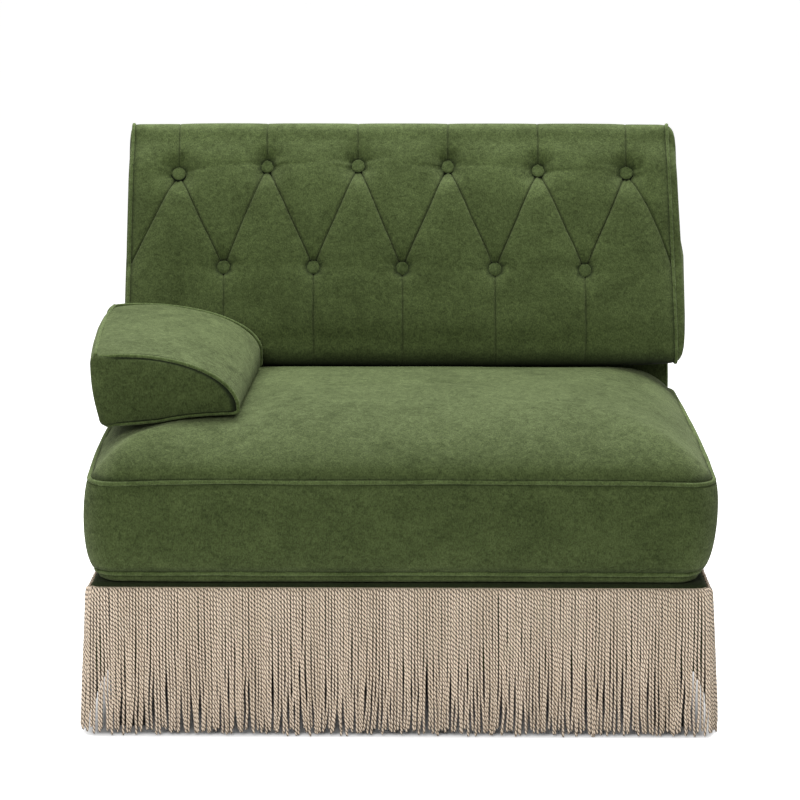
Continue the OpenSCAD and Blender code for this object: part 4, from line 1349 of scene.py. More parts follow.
    def tape(self) -> bpy.types.Object:
        """Makes the woven tape, with a rounded top edge, that the cords hang from.

        Returns:
            The tape.
        """
        rings = [self.lowered(rounded_plan(HALF_W + out, FRONT_Y - out, REAR_Y + out, BASE_CORNER_R + out,
                                           BASE_REAR_R + out), self.tape_z + z)
                 for out, z in ((0.0003, 0.0), (0.0003, -self.tape_h), (self.tape_out, -self.tape_h),
                                (self.tape_out, -0.0012), (self.tape_out - 0.0006, -0.0002),
                                (0.0014, 0.0003))]
        count, last = len(rings[0]), (len(rings) - 1) * len(rings[0])
        faces = grid_faces(len(rings), count)
        faces += [(last + c, last + (c + 1) % count, (c + 1) % count, c) for c in range(count)]
        return mesh_piece("fringe_header", np.vstack(rings), faces, CORD_TAPE)

    def build(self) -> None:
        """Builds and settles the tape and the cords of the four sides."""
        settle(self.tape(), Body.FRAME, ["fringe_tape"])
        source = self.cord()
        tree = self.rule()
        for seed, (label, path) in enumerate(self.sides_of_base().items(), start=3):
            made = tree.run(label + "_cords", self.lowered(path, self.top_z), False, {
                "Cord": source, "Pitch": self.pitch, "Drop": self.top_z - self.tip_z, "Lean": self.lean,
                "Sway": self.sway, "Stray": self.stray, "Seed": seed, "Material": CORD.material()})
            settle(made, Body.FRAME, [label + "_fringe"])
        bpy.data.objects.remove(source)


# ---------------------------------------------------------------------------------------------
# Back frame


@dataclass
class BackFrame:
    """The upholstered back frame behind the cushion, with its pad, straps and board."""

    edge_r: float = 0.007
    top_r: float = 0.012
    thick: float = 0.083
    step: float = 0.016
    columns: int = 60
    welt_r: float = 0.0028
    welt_in: float = 0.0035

    def profile(self, inset: float) -> np.ndarray:
        """The outline of the back from the side.

        Args:
            inset: how far it is drawn in.

        Returns:
            Its corners in y and z, with both top edges as arcs.
        """
        def at(along: float, depth: float) -> tuple[float, float]:
            """One point by its distance up the rake and its depth."""
            return tuple(back_point(along, depth, 0.0)[1:].tolist())
        behind, top = BACK_PANEL_T - inset, BACK_PANEL_L - inset
        knee = (self.thick - inset - behind * math.cos(BACK_RAKE)) / math.sin(BACK_RAKE)
        radius = max(0.003, self.top_r - inset)
        turns = np.linspace(0, math.pi / 2, 7)
        return np.array([
            (BACK_FRONT_Y + inset, DECK_Z),
            (BACK_FRONT_Y + inset, BACK_BEND_Z - inset * math.tan(BACK_RAKE / 2)),
            *(at(top - radius + radius * math.sin(t), inset + radius - radius * math.cos(t)) for t in turns),
            *(at(top - radius + radius * math.cos(t), behind - radius + radius * math.sin(t)) for t in turns),
            at(knee, behind), (REAR_Y - inset, DECK_Z)])

    def rounded(self, inset: float) -> np.ndarray:
        """The profile with its long edges divided, so that it can sag.

        Args:
            inset: how far it is drawn in.

        Returns:
            Its points, as many for each inset.
        """
        whole, outline = self.profile(0.0), self.profile(inset)
        points = []
        for a, b, start, end in zip(outline, np.roll(outline, -1, 0), whole, np.roll(whole, -1, 0)):
            steps = max(1, int(round(np.linalg.norm(end - start) / self.step)))
            points += [a + (b - a) * i / steps for i in range(steps)]
        return np.array(points)

    def cover(self) -> bpy.types.Object:
        """Makes the velvet shell, with rounded side edges.

        Returns:
            The shell.
        """
        ends = [(HALF_W - self.edge_r * (1 - math.sin(turn)), self.edge_r * (1 - math.cos(turn)))
                for turn in np.radians([90, 68, 45, 22])]
        plain = HALF_W - self.edge_r
        stack = [*((-x, inset) for x, inset in ends),
                 *((x, 0.0) for x in np.linspace(-plain, plain, self.columns)), *ends[::-1]]
        loops = [at_x(self.rounded(inset), x) for x, inset in stack]
        points, count = np.vstack(loops), len(loops[0])
        last = (len(loops) - 1) * count
        faces = grid_faces(len(loops), count)
        faces += [tuple(range(count)), tuple(last + c for c in range(count))[::-1]]
        slack = smooth_noise(points * np.array([1.0, 1.0, 0.6]), 5.0, 8) * 0.0008
        inside = (np.abs(points[:, 0]) < HALF_W - 0.02) & (points[:, 2] > DECK_Z + 0.02)
        inward = np.where(points[inside, 1] > BACK_FRONT_Y + 0.03, -1, 1)
        points[inside, 1] += inward * np.abs(slack[inside])
        return mesh_piece("back_frame_velvet", points, faces, VELVET)

    def welt(self, side: Side) -> Mesh:
        """The welt round one side panel of the back frame.

        Args:
            side: the panel's side.

        Returns:
            The points and faces of the welt.
        """
        outline = self.rounded(0.002)
        return tube(at_x(outline[outline[:, 1] > DECK_Z + 0.004], side * (HALF_W - self.welt_in)),
                    self.welt_r, 8, False)

    def build(self) -> None:
        """Builds and settles the pieces of the back frame."""
        settle(self.cover(), Body.FRAME, ["back_cover"])
        welts = mesh_piece("back_frame_welts", *joined([self.welt(side) for side in Side]), WELT_VELVET)
        settle(welts, Body.FRAME)
        settle(node_copy("back_pad", "back_foam_pad", FOAM, 0.002), Body.FRAME, ["back_pad"])
        settle(node_copy("back_straps", "back_webbing", STRAP, 0.0004, 1), Body.FRAME,
               ["back_straps"])


# ---------------------------------------------------------------------------------------------
# Seat cushion


def pressed(x: np.ndarray, y: np.ndarray) -> np.ndarray:
    """How far the arm bolster and the back cushion press the seat's crown down.

    Args:
        x: places across.
        y: places from front to rear.

    Returns:
        The depth of the hollow at each place.
    """
    under_arm, under_back = 0.0095, 0.0045
    across = smoothstep(-0.165, -0.235, x) * smoothstep(-0.437, -0.375, x)
    along = smoothstep(FRONT_Y + 0.070, FRONT_Y + 0.120, y) \
        * smoothstep(FRONT_Y + 0.60, FRONT_Y + 0.545, y)
    behind = smoothstep(0.055, 0.100, y) * smoothstep(0.44, 0.30, np.abs(x))
    return np.maximum(under_arm * across * along, under_back * behind)


@dataclass
class SeatCushion:
    """The loose boxed seat cushion: crowned top, swollen boxing, welts, zip and foam core."""

    top_x: float = 0.4515
    low_x: float = 0.4425
    pipe_z: float = 0.3768
    low_z: float = 0.2420
    rear_rise: float = 0.016
    crown: float = 0.0852
    crown_run: float = 0.060
    swell: float = 0.0135
    corner_r: float = 0.041
    left_flare: float = 0.0012
    right_flare: float = 0.0075
    left_bow: float = 0.0105
    right_bow: float = 0.0036
    shift: float = 0.0010
    low_shift: float = -0.0020
    low_forward: float = 0.0090
    welt_r: float = 0.0034
    groove: float = 0.0035
    nose: float = 0.016
    nose_run: float = 0.024
    nose_reach: float = 0.016
    zip_edge: float = 0.0018
    tooth: tuple = (0.0011, 0.0012, 0.0044)
    tooth_pitch: float = 0.0021
    seam_shade_run: float = 0.0042
    front: float = FRONT_Y - 0.001
    rear: float = FRONT_Y + 0.6985
    droop: float = 0.004

    def depth(self, y: np.ndarray) -> np.ndarray:
        """The share of the way from the front to the rear."""
        return np.clip((y - self.front) / (self.rear - self.front), 0, 1)

    def ring(self, inset: float, z: float, tilt: float, wide: float = 1.0) -> np.ndarray:
        """One ring of the cushion.

        Args:
            inset: how far it is drawn in from the top seam.
            z: its height at the front.
            tilt: how far it follows the top's rise to the rear, as a share.
            wide: how far it follows the top's plan, as a share.

        Returns:
            Its points.
        """
        radius = min(max(0.014, self.corner_r - inset * 0.55), 0.9 * ((self.rear - self.front) / 2 - inset))
        forward = self.low_forward * (1 - wide)
        plan = rounded_plan(self.top_x - inset, self.front + inset - forward, self.rear - inset,
                            radius, radius, 10, 46)
        depth = self.depth(plan[:, 1])
        corner = smoothstep(0.30, 0.45, np.abs(plan[:, 0])) * smoothstep(0.75, 1.0, 1 - depth)
        left = plan[:, 0] < 0
        flare = np.where(left, self.left_flare, self.right_flare) * (1 - depth)
        bow = np.where(left, self.left_bow, self.right_bow) * np.sin(math.pi * depth)
        plan[:, 0] += plan[:, 0] * (flare + bow) * wide / self.top_x \
            + self.low_shift + (self.shift - self.low_shift) * wide
        if z > self.pipe_z:
            facing = np.exp(-((plan[:, 1] - self.front - inset) / self.nose_reach) ** 2) \
                * smoothstep(0.46, 0.38, np.abs(plan[:, 0]))
            share = inset / self.nose_run
            plan[:, 1] -= facing * self.nose * inset / self.nose_run * math.exp(1 - share)
        return at_height(plan, z + tilt * (self.rear_rise * depth - self.droop * corner))

    def shell(self) -> tuple[np.ndarray, list, np.ndarray]:
        """Makes the cover's shell, with rings close together where the zip lies.

        Returns:
            Its points, its faces and which points lie on a seam.
        """
        rings, seams = [], []

        def add(inset: float, z: float, tilt: float, seam: float = 0.0) -> None:
            """Adds one ring.

            Args:
                inset: how far it is drawn in.
                z: its height at the front.
                tilt: how far it follows the top's rise.
                seam: 1 on a seam.
            """
            share = float(np.clip((z - self.low_z) / (self.pipe_z - self.low_z), 0, 1))
            rings.append(self.ring(inset, z, tilt, share))
            seams.append(seam)

        step_in = self.top_x - self.low_x
        for inset, z in ((0.045, 0.2256), (0.028, 0.2257), (0.016, 0.2261), (0.009, 0.2274),
                         (0.0052, 0.2300), (0.0032, 0.2335), (0.0026, 0.2375)):
            add(step_in + inset, z, 0.0, 1.0 if z < 0.2257 else 0.0)
        add(step_in + self.groove, self.low_z, 0.0, 1.0)
        zip_low, zip_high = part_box("zip_tape")
        span = self.pipe_z + self.rear_rise - self.low_z
        walls = [(z - self.low_z) / span for z in (
            zip_low.z - self.zip_edge, zip_low.z - 0.0004, zip_high.z + 0.0004, zip_high.z + self.zip_edge)]
        even = [share for share in np.linspace(0.03, 0.97, 19)
                if min(abs(share - wall) for wall in walls) > 0.012]
        for share in sorted(even + walls):
            bulge = math.sin(math.pi * share ** 0.8) ** 0.55
            inset = step_in * (1 - share) - self.swell * bulge
            add(inset, self.low_z + share * (self.pipe_z - self.low_z), share)
        add(self.groove, self.pipe_z, 1.0, 1.0)
        for inset in (0.003, 0.006, 0.010, 0.015, 0.020, 0.026, 0.033, 0.042, 0.056, 0.072, 0.088, 0.104,
                      0.120, 0.136, 0.152, 0.168, 0.184, 0.2, 0.22, 0.24, 0.26, 0.28, 0.3, 0.315, 0.335):
            rise = self.crown * (1 - math.exp(-(inset - 0.001) / self.crown_run))
            add(inset, self.pipe_z + rise, math.exp(-inset / self.crown_run))
        points, faces = capped_rings(rings)
        points[:, 2] -= pressed(points[:, 0], points[:, 1]) * (points[:, 2] > self.pipe_z + 0.01)
        return points, faces, np.concatenate([np.repeat(seams, len(rings[0])), [1.0, 0.0]])

    def folds(self, points: np.ndarray) -> np.ndarray:
        """How much painted shade each point gets beside a seam or under the cushion.

        Args:
            points: places on the cover.

        Returns:
            The share of painted shade of each, which is larger above a seam than below it.
        """
        edge = (np.abs(points[:, 0]) > 0.43) | (points[:, 1] < self.front + 0.02) \
            | (points[:, 1] > self.rear - 0.02)
        # painted shade: the underside on the deck is dark, and so are bands beside the welts at the edges
        fold = 0.9 * (points[:, 2] < 0.2262)
        for above in (points[:, 2] - self.pipe_z - self.rear_rise * self.depth(points[:, 1]),
                      points[:, 2] - self.low_z):
            deep = np.where(above > -0.0002, 0.9, 0.35) * np.exp(-(above / self.seam_shade_run) ** 2)
            fold = np.maximum(fold, np.where(edge, deep, 0))
        return fold

    def relief(self, points: np.ndarray) -> np.ndarray:
        """Makes the cover uneven: soft waves, and puckers beside the seams.

        Args:
            points: places on the even cover.

        Returns:
            Their new places.
        """
        away = points - np.array([0.0, (self.front + self.rear) / 2, 0.30])
        away[:, 2] *= 0.6
        away /= np.linalg.norm(away, axis=1)[:, None]
        waves = smooth_noise(points, 5.5, 21) * 0.0013
        seam = np.minimum(np.abs(points[:, 2] - self.pipe_z), np.abs(points[:, 2] - self.low_z))
        near = np.exp(-(seam / 0.013) ** 2)
        puckers = smooth_noise(points * np.array([1, 1, 0.12]), 26.0, 22) * 0.0008 * near
        return points + away * (waves + puckers)[:, None]

    def cover(self) -> bpy.types.Object:
        """Makes the velvet cover, with a channel for the zip.

        Returns:
            The cover.
        """
        points, faces, seam = self.shell()
        points = np.where(seam[:, None] > 0.5, points, self.relief(points))
        lowest = DECK_Z + 0.0006
        points[points[:, 2] < lowest, 2] = lowest
        zip_low, zip_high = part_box("zip_tape")
        sunk = (points[:, 1] > self.rear - 0.02) & (np.abs(points[:, 0]) < zip_high.x + 0.022) \
            & (points[:, 2] > zip_low.z - 0.0011) & (points[:, 2] < zip_high.z + 0.0011)
        points[sunk, 1] = zip_low.y - 0.0006
        seam = np.where(sunk, 1.0, seam)
        piece = mesh_piece("seat_velvet", points, faces, VELVET, fold=self.folds(points))
        puff(piece, np.clip(seam + 0.25, 0, 1), 1.2, 0.006)
        return piece

    def welt(self, name: str, inset: float, z: float, tilt: float, seed: int) -> bpy.types.Object:
        """Makes one welt along a seam.

        Args:
            name: its name.
            inset: how far the seam is drawn in from the top seam.
            z: the seam's height at the front.
            tilt: 1 for the top seam, 0 for the bottom one.
            seed: the seed of its small drift.

        Returns:
            The welt.
        """
        plan = self.ring(inset, z, tilt, tilt)
        plan[:, 2] += smooth_noise(plan, 6.0, seed) * 0.0007
        return mesh_piece(name, *tube(plan, self.welt_r, 10, True, 0.03, seed), WELT_VELVET)

    def zip_teeth(self) -> bpy.types.Object:
        """Sets the zip's teeth out along the tape by Geometry Nodes.

        Returns:
            The teeth, as one piece.
        """
        low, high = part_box("zip_tape")
        y, z = high.y - 0.0004, (low.z + high.z) / 2
        path = np.array([[low.x + 0.004, y, z], [high.x - 0.004, y, z]])
        box = bmesh.new()
        bmesh.ops.create_cube(box, size=1.0)
        for vertex in box.verts:
            vertex.co *= Vector(self.tooth)
        bmesh.ops.bevel(box, geom=box.edges[:], offset=0.0002, segments=1, affect="EDGES")
        mesh = bpy.data.meshes.new("tooth_source")
        box.to_mesh(mesh)
        box.free()
        mesh.materials.append(ZIP_METAL.material())
        return scattered("zip_teeth", path, placed("tooth_source", mesh), self.tooth_pitch, ZIP_METAL, False)

    def build(self) -> None:
        """Builds and settles the pieces of the seat cushion."""
        settle(self.cover(), Body.SEAT, ["seat_cover"])
        settle(self.welt("seat_top_welt", 0.0006, self.pipe_z + 0.0006, 1.0, 31), Body.SEAT,
               ["seat_top_piping"])
        settle(self.welt("seat_bottom_welt", self.top_x - self.low_x, self.low_z - 0.0004, 0.0, 32),
               Body.SEAT, ["seat_bottom_piping"])
        settle(node_copy("seat_foam", "seat_foam_core", FOAM, shrink=0.006), Body.SEAT,
               ["seat_foam"])
        settle(node_copy("zip_tape", "zip_cloth", ZIP_CLOTH, 0.0003, 1), Body.SEAT,
               ["zip_tape"])
        settle(self.zip_teeth(), Body.SEAT)


# ---------------------------------------------------------------------------------------------
# Back cushion


@dataclass
class BackCushion:
    """The loose back cushion: buttoned front, sewn pleats, swollen side panels and two welts."""

    # Where the buttons are pulled in: across, and up the rake from the cushion's bottom
    upper: tuple = ((-0.3735, 0.3165), (-0.2265, 0.3290), (-0.0752, 0.3300), (0.0740, 0.3290),
                    (0.2240, 0.3225), (0.3704, 0.3190))
    lower: tuple = ((-0.2960, 0.1560), (-0.1480, 0.1560), (-0.0010, 0.1540), (0.1520, 0.1530),
                    (0.3005, 0.1515))
    left_low: float = -0.4540
    left_high: float = -0.4505
    right_low: float = 0.4512
    right_high: float = 0.4380
    seam_v: float = 0.158
    top_v: float = 0.4065
    edge_r: float = 0.024
    rear_lift: float = 0.028
    swell: float = 0.018
    side_run: float = 0.040
    dimple: float = 0.0180
    dimple_r: float = 0.021
    dimple_flat: float = 0.011
    pocket: float = 0.0032
    pocket_r: float = 0.0136
    low_dimple: float = 0.0055
    low_dimple_r: float = 0.015
    crease: float = 0.0050
    crease_r: float = 0.0012
    valley: float = 0.0030
    valley_r: float = 0.015
    left_swell: float = 0.007
    right_swell: float = 0.016
    seam_pull: float = 0.0036
    top_lean: float = 0.014
    sag: float = 0.0050
    low_lean: float = 0.012
    rear_r: float = 0.010
    seam_shade_run: float = 0.0042
    right_bow: float = 0.0068
    corner_lift: float = 0.0020
    ear: float = 0.0050
    welt_r: float = 0.0029
    welt_step: float = 0.0035
    button_r: float = 0.0113
    button_sides: int = 30
    button_h: float = 0.0034
    offsets: tuple = (0.0008, 0.0020, 0.0042, 0.0085, 0.016, 0.029)
    caps: tuple = (0.03, 0.07, 0.13, 0.21, 0.31, 0.41)
    loops: list = field(default_factory=list, init=False)

    def edges(self, v: np.ndarray) -> tuple[np.ndarray, np.ndarray]:
        """The left and right seams at a height.

        Args:
            v: places up the rake.

        Returns:
            The places across of the two seams.
        """
        share = np.clip(v / CUSHION_H, 0, 1)
        return (self.left_low + (self.left_high - self.left_low) * share,
                self.right_low + (self.right_high - self.right_low) * share)

    def inside(self, u: np.ndarray, v: np.ndarray) -> np.ndarray:
        """Distance from the nearer side seam."""
        left, right = self.edges(v)
        return np.maximum(np.minimum(u - left, right - u), 0)

    def nearness(self, u: np.ndarray, v: np.ndarray, run: float) -> np.ndarray:
        """How near the side seams a place is, from 1 on them towards 0."""
        return np.exp(-self.inside(u, v) / run)

    def columns(self, share: float, v: float) -> np.ndarray:
        """The columns across the cushion, gathered so that they follow the pleats.

        Args:
            share: 0 at the lower row of buttons and 1 at the upper row.
            v: the height that gives the width.

        Returns:
            The places of the columns across.
        """
        left, right = (float(edge) for edge in self.edges(np.array(v)))
        lower = [left] + [u for u, _ in self.lower] + [right]
        marks = [left]
        for k, (u, _) in enumerate(self.upper):
            marks += [lower[k] + (u - lower[k]) * share, lower[k + 1] + (u - lower[k + 1]) * share]
        marks[-1] += self.right_bow * math.sin(math.pi * share)
        marks.append(right)
        places = []
        for a, b in zip(marks, marks[1:]):
            steps = np.minimum(np.array(self.offsets), np.array(self.caps) * (b - a))
            places += [a, *(a + steps), (a + b) / 2, *(b - steps[::-1])]
        return np.array(places + [right])

    def row_v(self, u: np.ndarray, row: tuple) -> np.ndarray:
        """The height of a row of buttons at each place across."""
        return np.interp(u, [p[0] for p in row], [p[1] for p in row])

    def segments(self) -> list[tuple[np.ndarray, np.ndarray, float]]:
        """Finds the sewn pleats.

        Returns:
            The two ends and the depth share of each.
        """
        lower = [(self.left_low + 0.001, self.seam_v), *self.lower, (self.right_low - 0.006, self.seam_v)]
        lines = []
        for k, top in enumerate(self.upper):
            lines.append((np.array(top), np.array([top[0], CUSHION_H + 0.03]), 0.7))
            lines += [(np.array(top), np.array(low), 1.0) for low in (lower[k], lower[k + 1])]
        start, end, _ = lines.pop()
        shares = np.linspace(0, 1, 9)[:, None]
        bow = np.hstack([self.right_bow * np.sin(math.pi * shares), 0 * shares])
        curve = start + (end - start) * shares + bow
        lines += [(a, b, 1.0) for a, b in zip(curve, curve[1:])]
        return lines + [(np.array(low), np.array([low[0] + 0.002, -0.03]), 0.75) for low in self.lower]

    def pleats(self, flat: np.ndarray) -> tuple[np.ndarray, np.ndarray]:
        """How near each place is to a sewn pleat.

        Args:
            flat: places across and up the rake.

        Returns:
            The share of the sharp crease and of the broad valley round it.
        """
        cut, broad = np.zeros(len(flat)), np.zeros(len(flat))
        for a, b, share in self.segments():
            line = b - a
            t = np.clip(((flat - a) @ line) / (line @ line), 0, 1)
            distance = np.linalg.norm(flat - a - t[:, None] * line, axis=1)
            cut = np.maximum(cut, share * np.exp(-(distance / self.crease_r) ** 1.4))
            broad = np.maximum(broad, share * np.exp(-((distance / self.valley_r) ** 2)))
        return cut, broad

    def dimples(self, flat: np.ndarray) -> tuple[np.ndarray, np.ndarray]:
        """How far the buttons pull each place in.

        Args:
            flat: places across and up the rake.

        Returns:
            The depth, and the share of the pocket right under a button.
        """
        pull, shade = np.zeros(len(flat)), np.zeros(len(flat))
        for row, deep, reach in ((self.upper, self.dimple, self.dimple_r),
                                 (self.lower, self.low_dimple, self.low_dimple_r)):
            for index, spot in enumerate(row):
                r = np.linalg.norm(flat - np.array(spot), axis=1)
                angle = np.arctan2(flat[:, 1] - spot[1], flat[:, 0] - spot[0])
                tucks = 0.10 * np.sin(6 * angle + index * 2.3) + 0.06 * np.sin(11 * angle + index)
                folds = 1 + tucks * np.exp(-((r - 0.020) / 0.012) ** 2)
                wide = np.maximum(r - self.dimple_flat, 0) / reach
                pull = np.maximum(pull, deep * folds / (1 + wide ** 2) ** 1.7)
                shade = np.maximum(shade, np.exp(-((r / self.pocket_r) ** 8)))
        return pull, shade

    def relief(self, u: np.ndarray, v: np.ndarray) -> tuple[np.ndarray, np.ndarray]:
        """Depth of the front face, and how much painted shade each point gets in pleats, pockets and beside
        the seams.

        Args:
            u: places across.
            v: places up the rake.

        Returns:
            The depth from the cushion's rear, and the share of painted shade.
        """
        flat = np.stack([u, v], -1).reshape(-1, 2)
        across, up = flat[:, 0], flat[:, 1]
        side = 1 - np.exp(-self.inside(across, up) / self.side_run)
        arch = np.sin(math.pi * np.clip(up / CUSHION_H, 0, 1)) ** 0.8
        depth = CUSHION_T + (self.swell * (0.45 + 0.55 * arch)) * side
        cut, broad = self.pleats(flat)
        pull, shade = self.dimples(flat)
        depth -= self.crease * cut + self.valley * broad + pull + self.pocket * shade
        depth -= self.top_lean * smoothstep(0.318, 0.385, up) ** 1.3
        depth -= self.low_lean * (1 - smoothstep(0.0, 0.075, up)) ** 1.4
        # painted shade: dark lines in the pleats, dark pockets under the buttons and dark bands beside the
        # side seams
        fold = np.maximum(np.clip(cut * 0.5, 0, 0.5), 0.9 * shade)
        fold = np.maximum(fold, 0.85 * np.exp(-(self.inside(across, up) / self.seam_shade_run) ** 2))
        return depth.reshape(u.shape), fold.reshape(u.shape)

    def front_depth(self, u: float, v: float) -> float:
        """The depth of the front face beside a button."""
        return float(self.relief(np.array([u + 0.004]), np.array([v + 0.006]))[0][0])

    @staticmethod
    def graded(length: float, fine_low: bool, fine_high: bool, count: int) -> np.ndarray:
        """Shares of a length with short steps at the chosen ends.

        Args:
            length: the length in metres.
            fine_low: whether the first steps are short.
            fine_high: whether the last steps are short.
            count: how many steps lie between.

        Returns:
            The shares, from just after 0 to 1.
        """
        near = np.array([0.0022, 0.0048, 0.008, 0.0115, 0.0155, 0.0205, 0.027]) / length
        low, high = (near if fine else np.array([0.14]) for fine in (fine_low, fine_high))
        middle = np.linspace(low[-1], 1 - high[-1], count)[1:-1]
        return np.concatenate([low, middle, 1 - high[::-1], [1.0]])

    def rows(self) -> tuple[list[np.ndarray], list[np.ndarray]]:
        """Makes the rows of the front, the top, the rear and the underside, in this order.

        Returns:
            The points of each row, and how much painted shade each point gets.
        """
        radius, rear_r = self.edge_r, self.rear_r
        rings, folds = [], []
        width = len(self.columns(0.5, 0.2))

        def add(u: np.ndarray, v: np.ndarray, w: np.ndarray, fold: np.ndarray) -> None:
            """Adds one row, drawn in beside the seams and lifted at the lower corners.

            Args:
                u: places across.
                v: places up the rake.
                w: depths in front of the rear.
                fold: how much painted shade each place gets.
            """
            v, w = (np.broadcast_to(value, u.shape).astype(float) for value in (v, w))
            near = self.nearness(u, v, 0.006) * self.seam_pull
            to_v, to_w = 0.2 - v, 0.07 - w
            size = np.maximum(np.hypot(to_v, to_w), 1e-6)
            corner = smoothstep(0.385, 0.452, np.abs(u)) * (1 - np.clip(v / 0.15, 0, 1))
            top = smoothstep(0.30, 0.445, np.abs(u)) * np.clip((v - 0.32) / 0.08, 0, 1)
            v = v + near * to_v / size + self.corner_lift * corner - 0.0008 * top
            w = w + near * to_w / size
            rings.append(cushion_point(u, v, w))
            folds.append(np.broadcast_to(fold, u.shape) * (w > 0.05))

        def face_row(share: float, v_of: Callable[[np.ndarray], np.ndarray]) -> None:
            """Adds one row of the front face.

            Args:
                share: the share of the way from the lower button row to the upper.
                v_of: the row's places up the rake, from its places across.
            """
            u = self.columns(share, float(np.mean(v_of(np.zeros(1)))))
            v = v_of(u)
            add(u, v, *self.relief(u, v))

        for step in self.graded(0.130, False, True, 9):
            face_row(0.0, lambda u, s=step: radius + (self.row_v(u, self.lower) - radius) * s)
        for step in self.graded(0.172, True, True, 24):
            face_row(step, lambda u, s=step: self.row_v(u, self.lower)
                     + (self.row_v(u, self.upper) - self.row_v(u, self.lower)) * s)
        top = self.top_v - radius
        for step in self.graded(0.055, True, False, 6):
            face_row(1.0, lambda u, s=step: self.row_v(u, self.upper) + (top - self.row_v(u, self.upper)) * s)
        edge_u = self.columns(1.0, top)
        edge_w, edge_shade = self.relief(edge_u, np.full(width, top))
        plain = np.array(0.0)
        ear = self.ear * self.nearness(edge_u, top, 0.014)
        for turn in np.radians([18, 36, 54, 72, 90]):
            push = ear * math.sin(2 * turn)
            add(edge_u, top + radius * math.sin(turn) + push,
                edge_w - radius * (1 - math.cos(turn)) + push, edge_shade)
        side = 1 - self.nearness(edge_u, top, 0.05)
        for share in np.linspace(0, 1, 9)[1:]:
            lifted = self.top_v + 0.003 * math.sin(math.pi * share) * side
            add(edge_u, lifted, (edge_w - radius) * (1 - share) + rear_r * share, edge_shade * (1 - share))
        for turn in np.radians([45, 90]):
            add(edge_u, self.top_v - rear_r * (1 - math.cos(turn)), rear_r * (1 - math.sin(turn)), plain)
        for share in np.linspace(0, 1, 12)[1:-1]:
            v = self.top_v - rear_r + (self.rear_lift + 2 * rear_r - self.top_v) * share
            u = self.columns(1 - share, v)
            add(u, np.array(v), -0.004 * math.sin(math.pi * share) * (1 - self.nearness(u, v, 0.05)), plain)
        low_u = self.columns(0.0, radius)
        low_w, low_shade = self.relief(low_u, np.full(width, radius))
        for turn in np.radians([0, 45, 90]):
            add(low_u, self.rear_lift + rear_r * (1 - math.sin(turn)), rear_r * (1 - math.cos(turn)), plain)
        sag = self.sag * (1 - self.nearness(low_u, radius, 0.12))
        for share in np.linspace(0, 1, 8)[1:-1]:
            add(low_u, self.rear_lift * (1 - share) - sag * share,
                rear_r + (low_w - radius - rear_r) * share, low_shade * share)
        ear = self.ear * self.nearness(low_u, radius, 0.014)
        for turn in np.radians([90, 72, 54, 36, 18, 0]):
            push = ear * math.sin(2 * turn)
            # painted shadow: the lower front edge darkens as it curls under onto the seat
            deep = np.maximum(low_shade, 0.95 * math.sin(turn) ** 1.4)
            add(low_u, radius * (1 - math.sin(turn)) - push - sag * math.sin(turn),
                low_w - radius * (1 - math.cos(turn)) + push, deep)
        return rings, folds

    def shell(self) -> tuple[np.ndarray, list, np.ndarray]:
        """Closes the rows with the two swollen side panels, and keeps the seams' loops.

        Returns:
            The cover's points, its faces and how deep each point lies in a fold.
        """
        rings, folds = self.rows()
        points, fold = np.vstack(rings), np.concatenate(folds)
        count, width = len(rings), len(rings[0])
        faces = [(r * width + c, r * width + c + 1, s * width + c + 1, s * width + c)
                 for r, s in ((r, (r + 1) % count) for r in range(count)) for c in range(width - 1)]
        self.loops.clear()
        parts, total = [points], len(points)
        for side, column, swell in ((Side.LEFT, 0, self.left_swell),
                                    (Side.RIGHT, width - 1, self.right_swell)):
            outer = [r * width + column for r in range(count)]
            loop = points[outer]
            self.loops.append(loop)
            middle = loop.mean(0)
            for shrink, out in ((0.012, 0.30), (0.03, 0.52), (0.06, 0.72), (0.11, 0.87), (0.18, 0.95),
                                (0.3, 1.0), (0.45, 1.0), (0.62, 1.0), (0.8, 1.0)):
                part = loop + (middle - loop) * shrink
                part[:, 0] = loop[:, 0] + side * out * swell
                inner = list(range(total, total + count))
                parts.append(part)
                total += count
                faces += [(outer[r - 1], outer[r], inner[r], inner[r - 1]) for r in (*range(1, count), 0)]
                outer = inner
            parts.append((middle + np.array([side * swell, 0, 0]))[None])
            faces += [(outer[r - 1], outer[r], total) for r in (*range(1, count), 0)]
            total += 1
        everything = np.vstack(parts)
        return everything, faces, np.concatenate([fold, np.zeros(len(everything) - len(fold))])

    def cover(self) -> bpy.types.Object:
        """Makes the velvet cover.

        Returns:
            The cover.
        """
        points, faces, fold = self.shell()
        inner = smoothstep(0.0, 0.03, 0.43 - np.abs(points[:, 0]))
        points[:, 0] += smooth_noise(points, 17.0, 43) * 0.0006 * inner
        points[:, 1] -= smooth_noise(points, 6.0, 41) * 0.0008 * inner
        return mesh_piece("back_velvet", points, faces, BACK_VELVET, merge=2e-5, fold=fold)

    def welt(self, side: Side, name: str) -> bpy.types.Object:
        """Makes the welt round one side panel, half sunk in its seam.

        Args:
            side: the panel's side.
            name: the welt's name.

        Returns:
            The welt.
        """
        loop = self.loops[0 if side is Side.LEFT else 1]
        keep = [0]
        for i in range(1, len(loop)):
            if np.linalg.norm(loop[i] - loop[keep[-1]]) > self.welt_step:
                keep.append(i)
        if np.linalg.norm(loop[keep[-1]] - loop[0]) < 0.003:
            keep.pop()
        path = loop[keep]
        outward = path - path.mean(0)
        outward[:, 0] = 0
        outward /= np.linalg.norm(outward, axis=1)[:, None]
        path = path + outward * 0.0016
        path[:, 0] += side * 0.0006
        path = (np.roll(path, 1, 0) + 2 * path + np.roll(path, -1, 0)) / 4
        return mesh_piece(name, *tube(path, self.welt_r, 10, True, 0.02, 40 + side), WELT_VELVET)

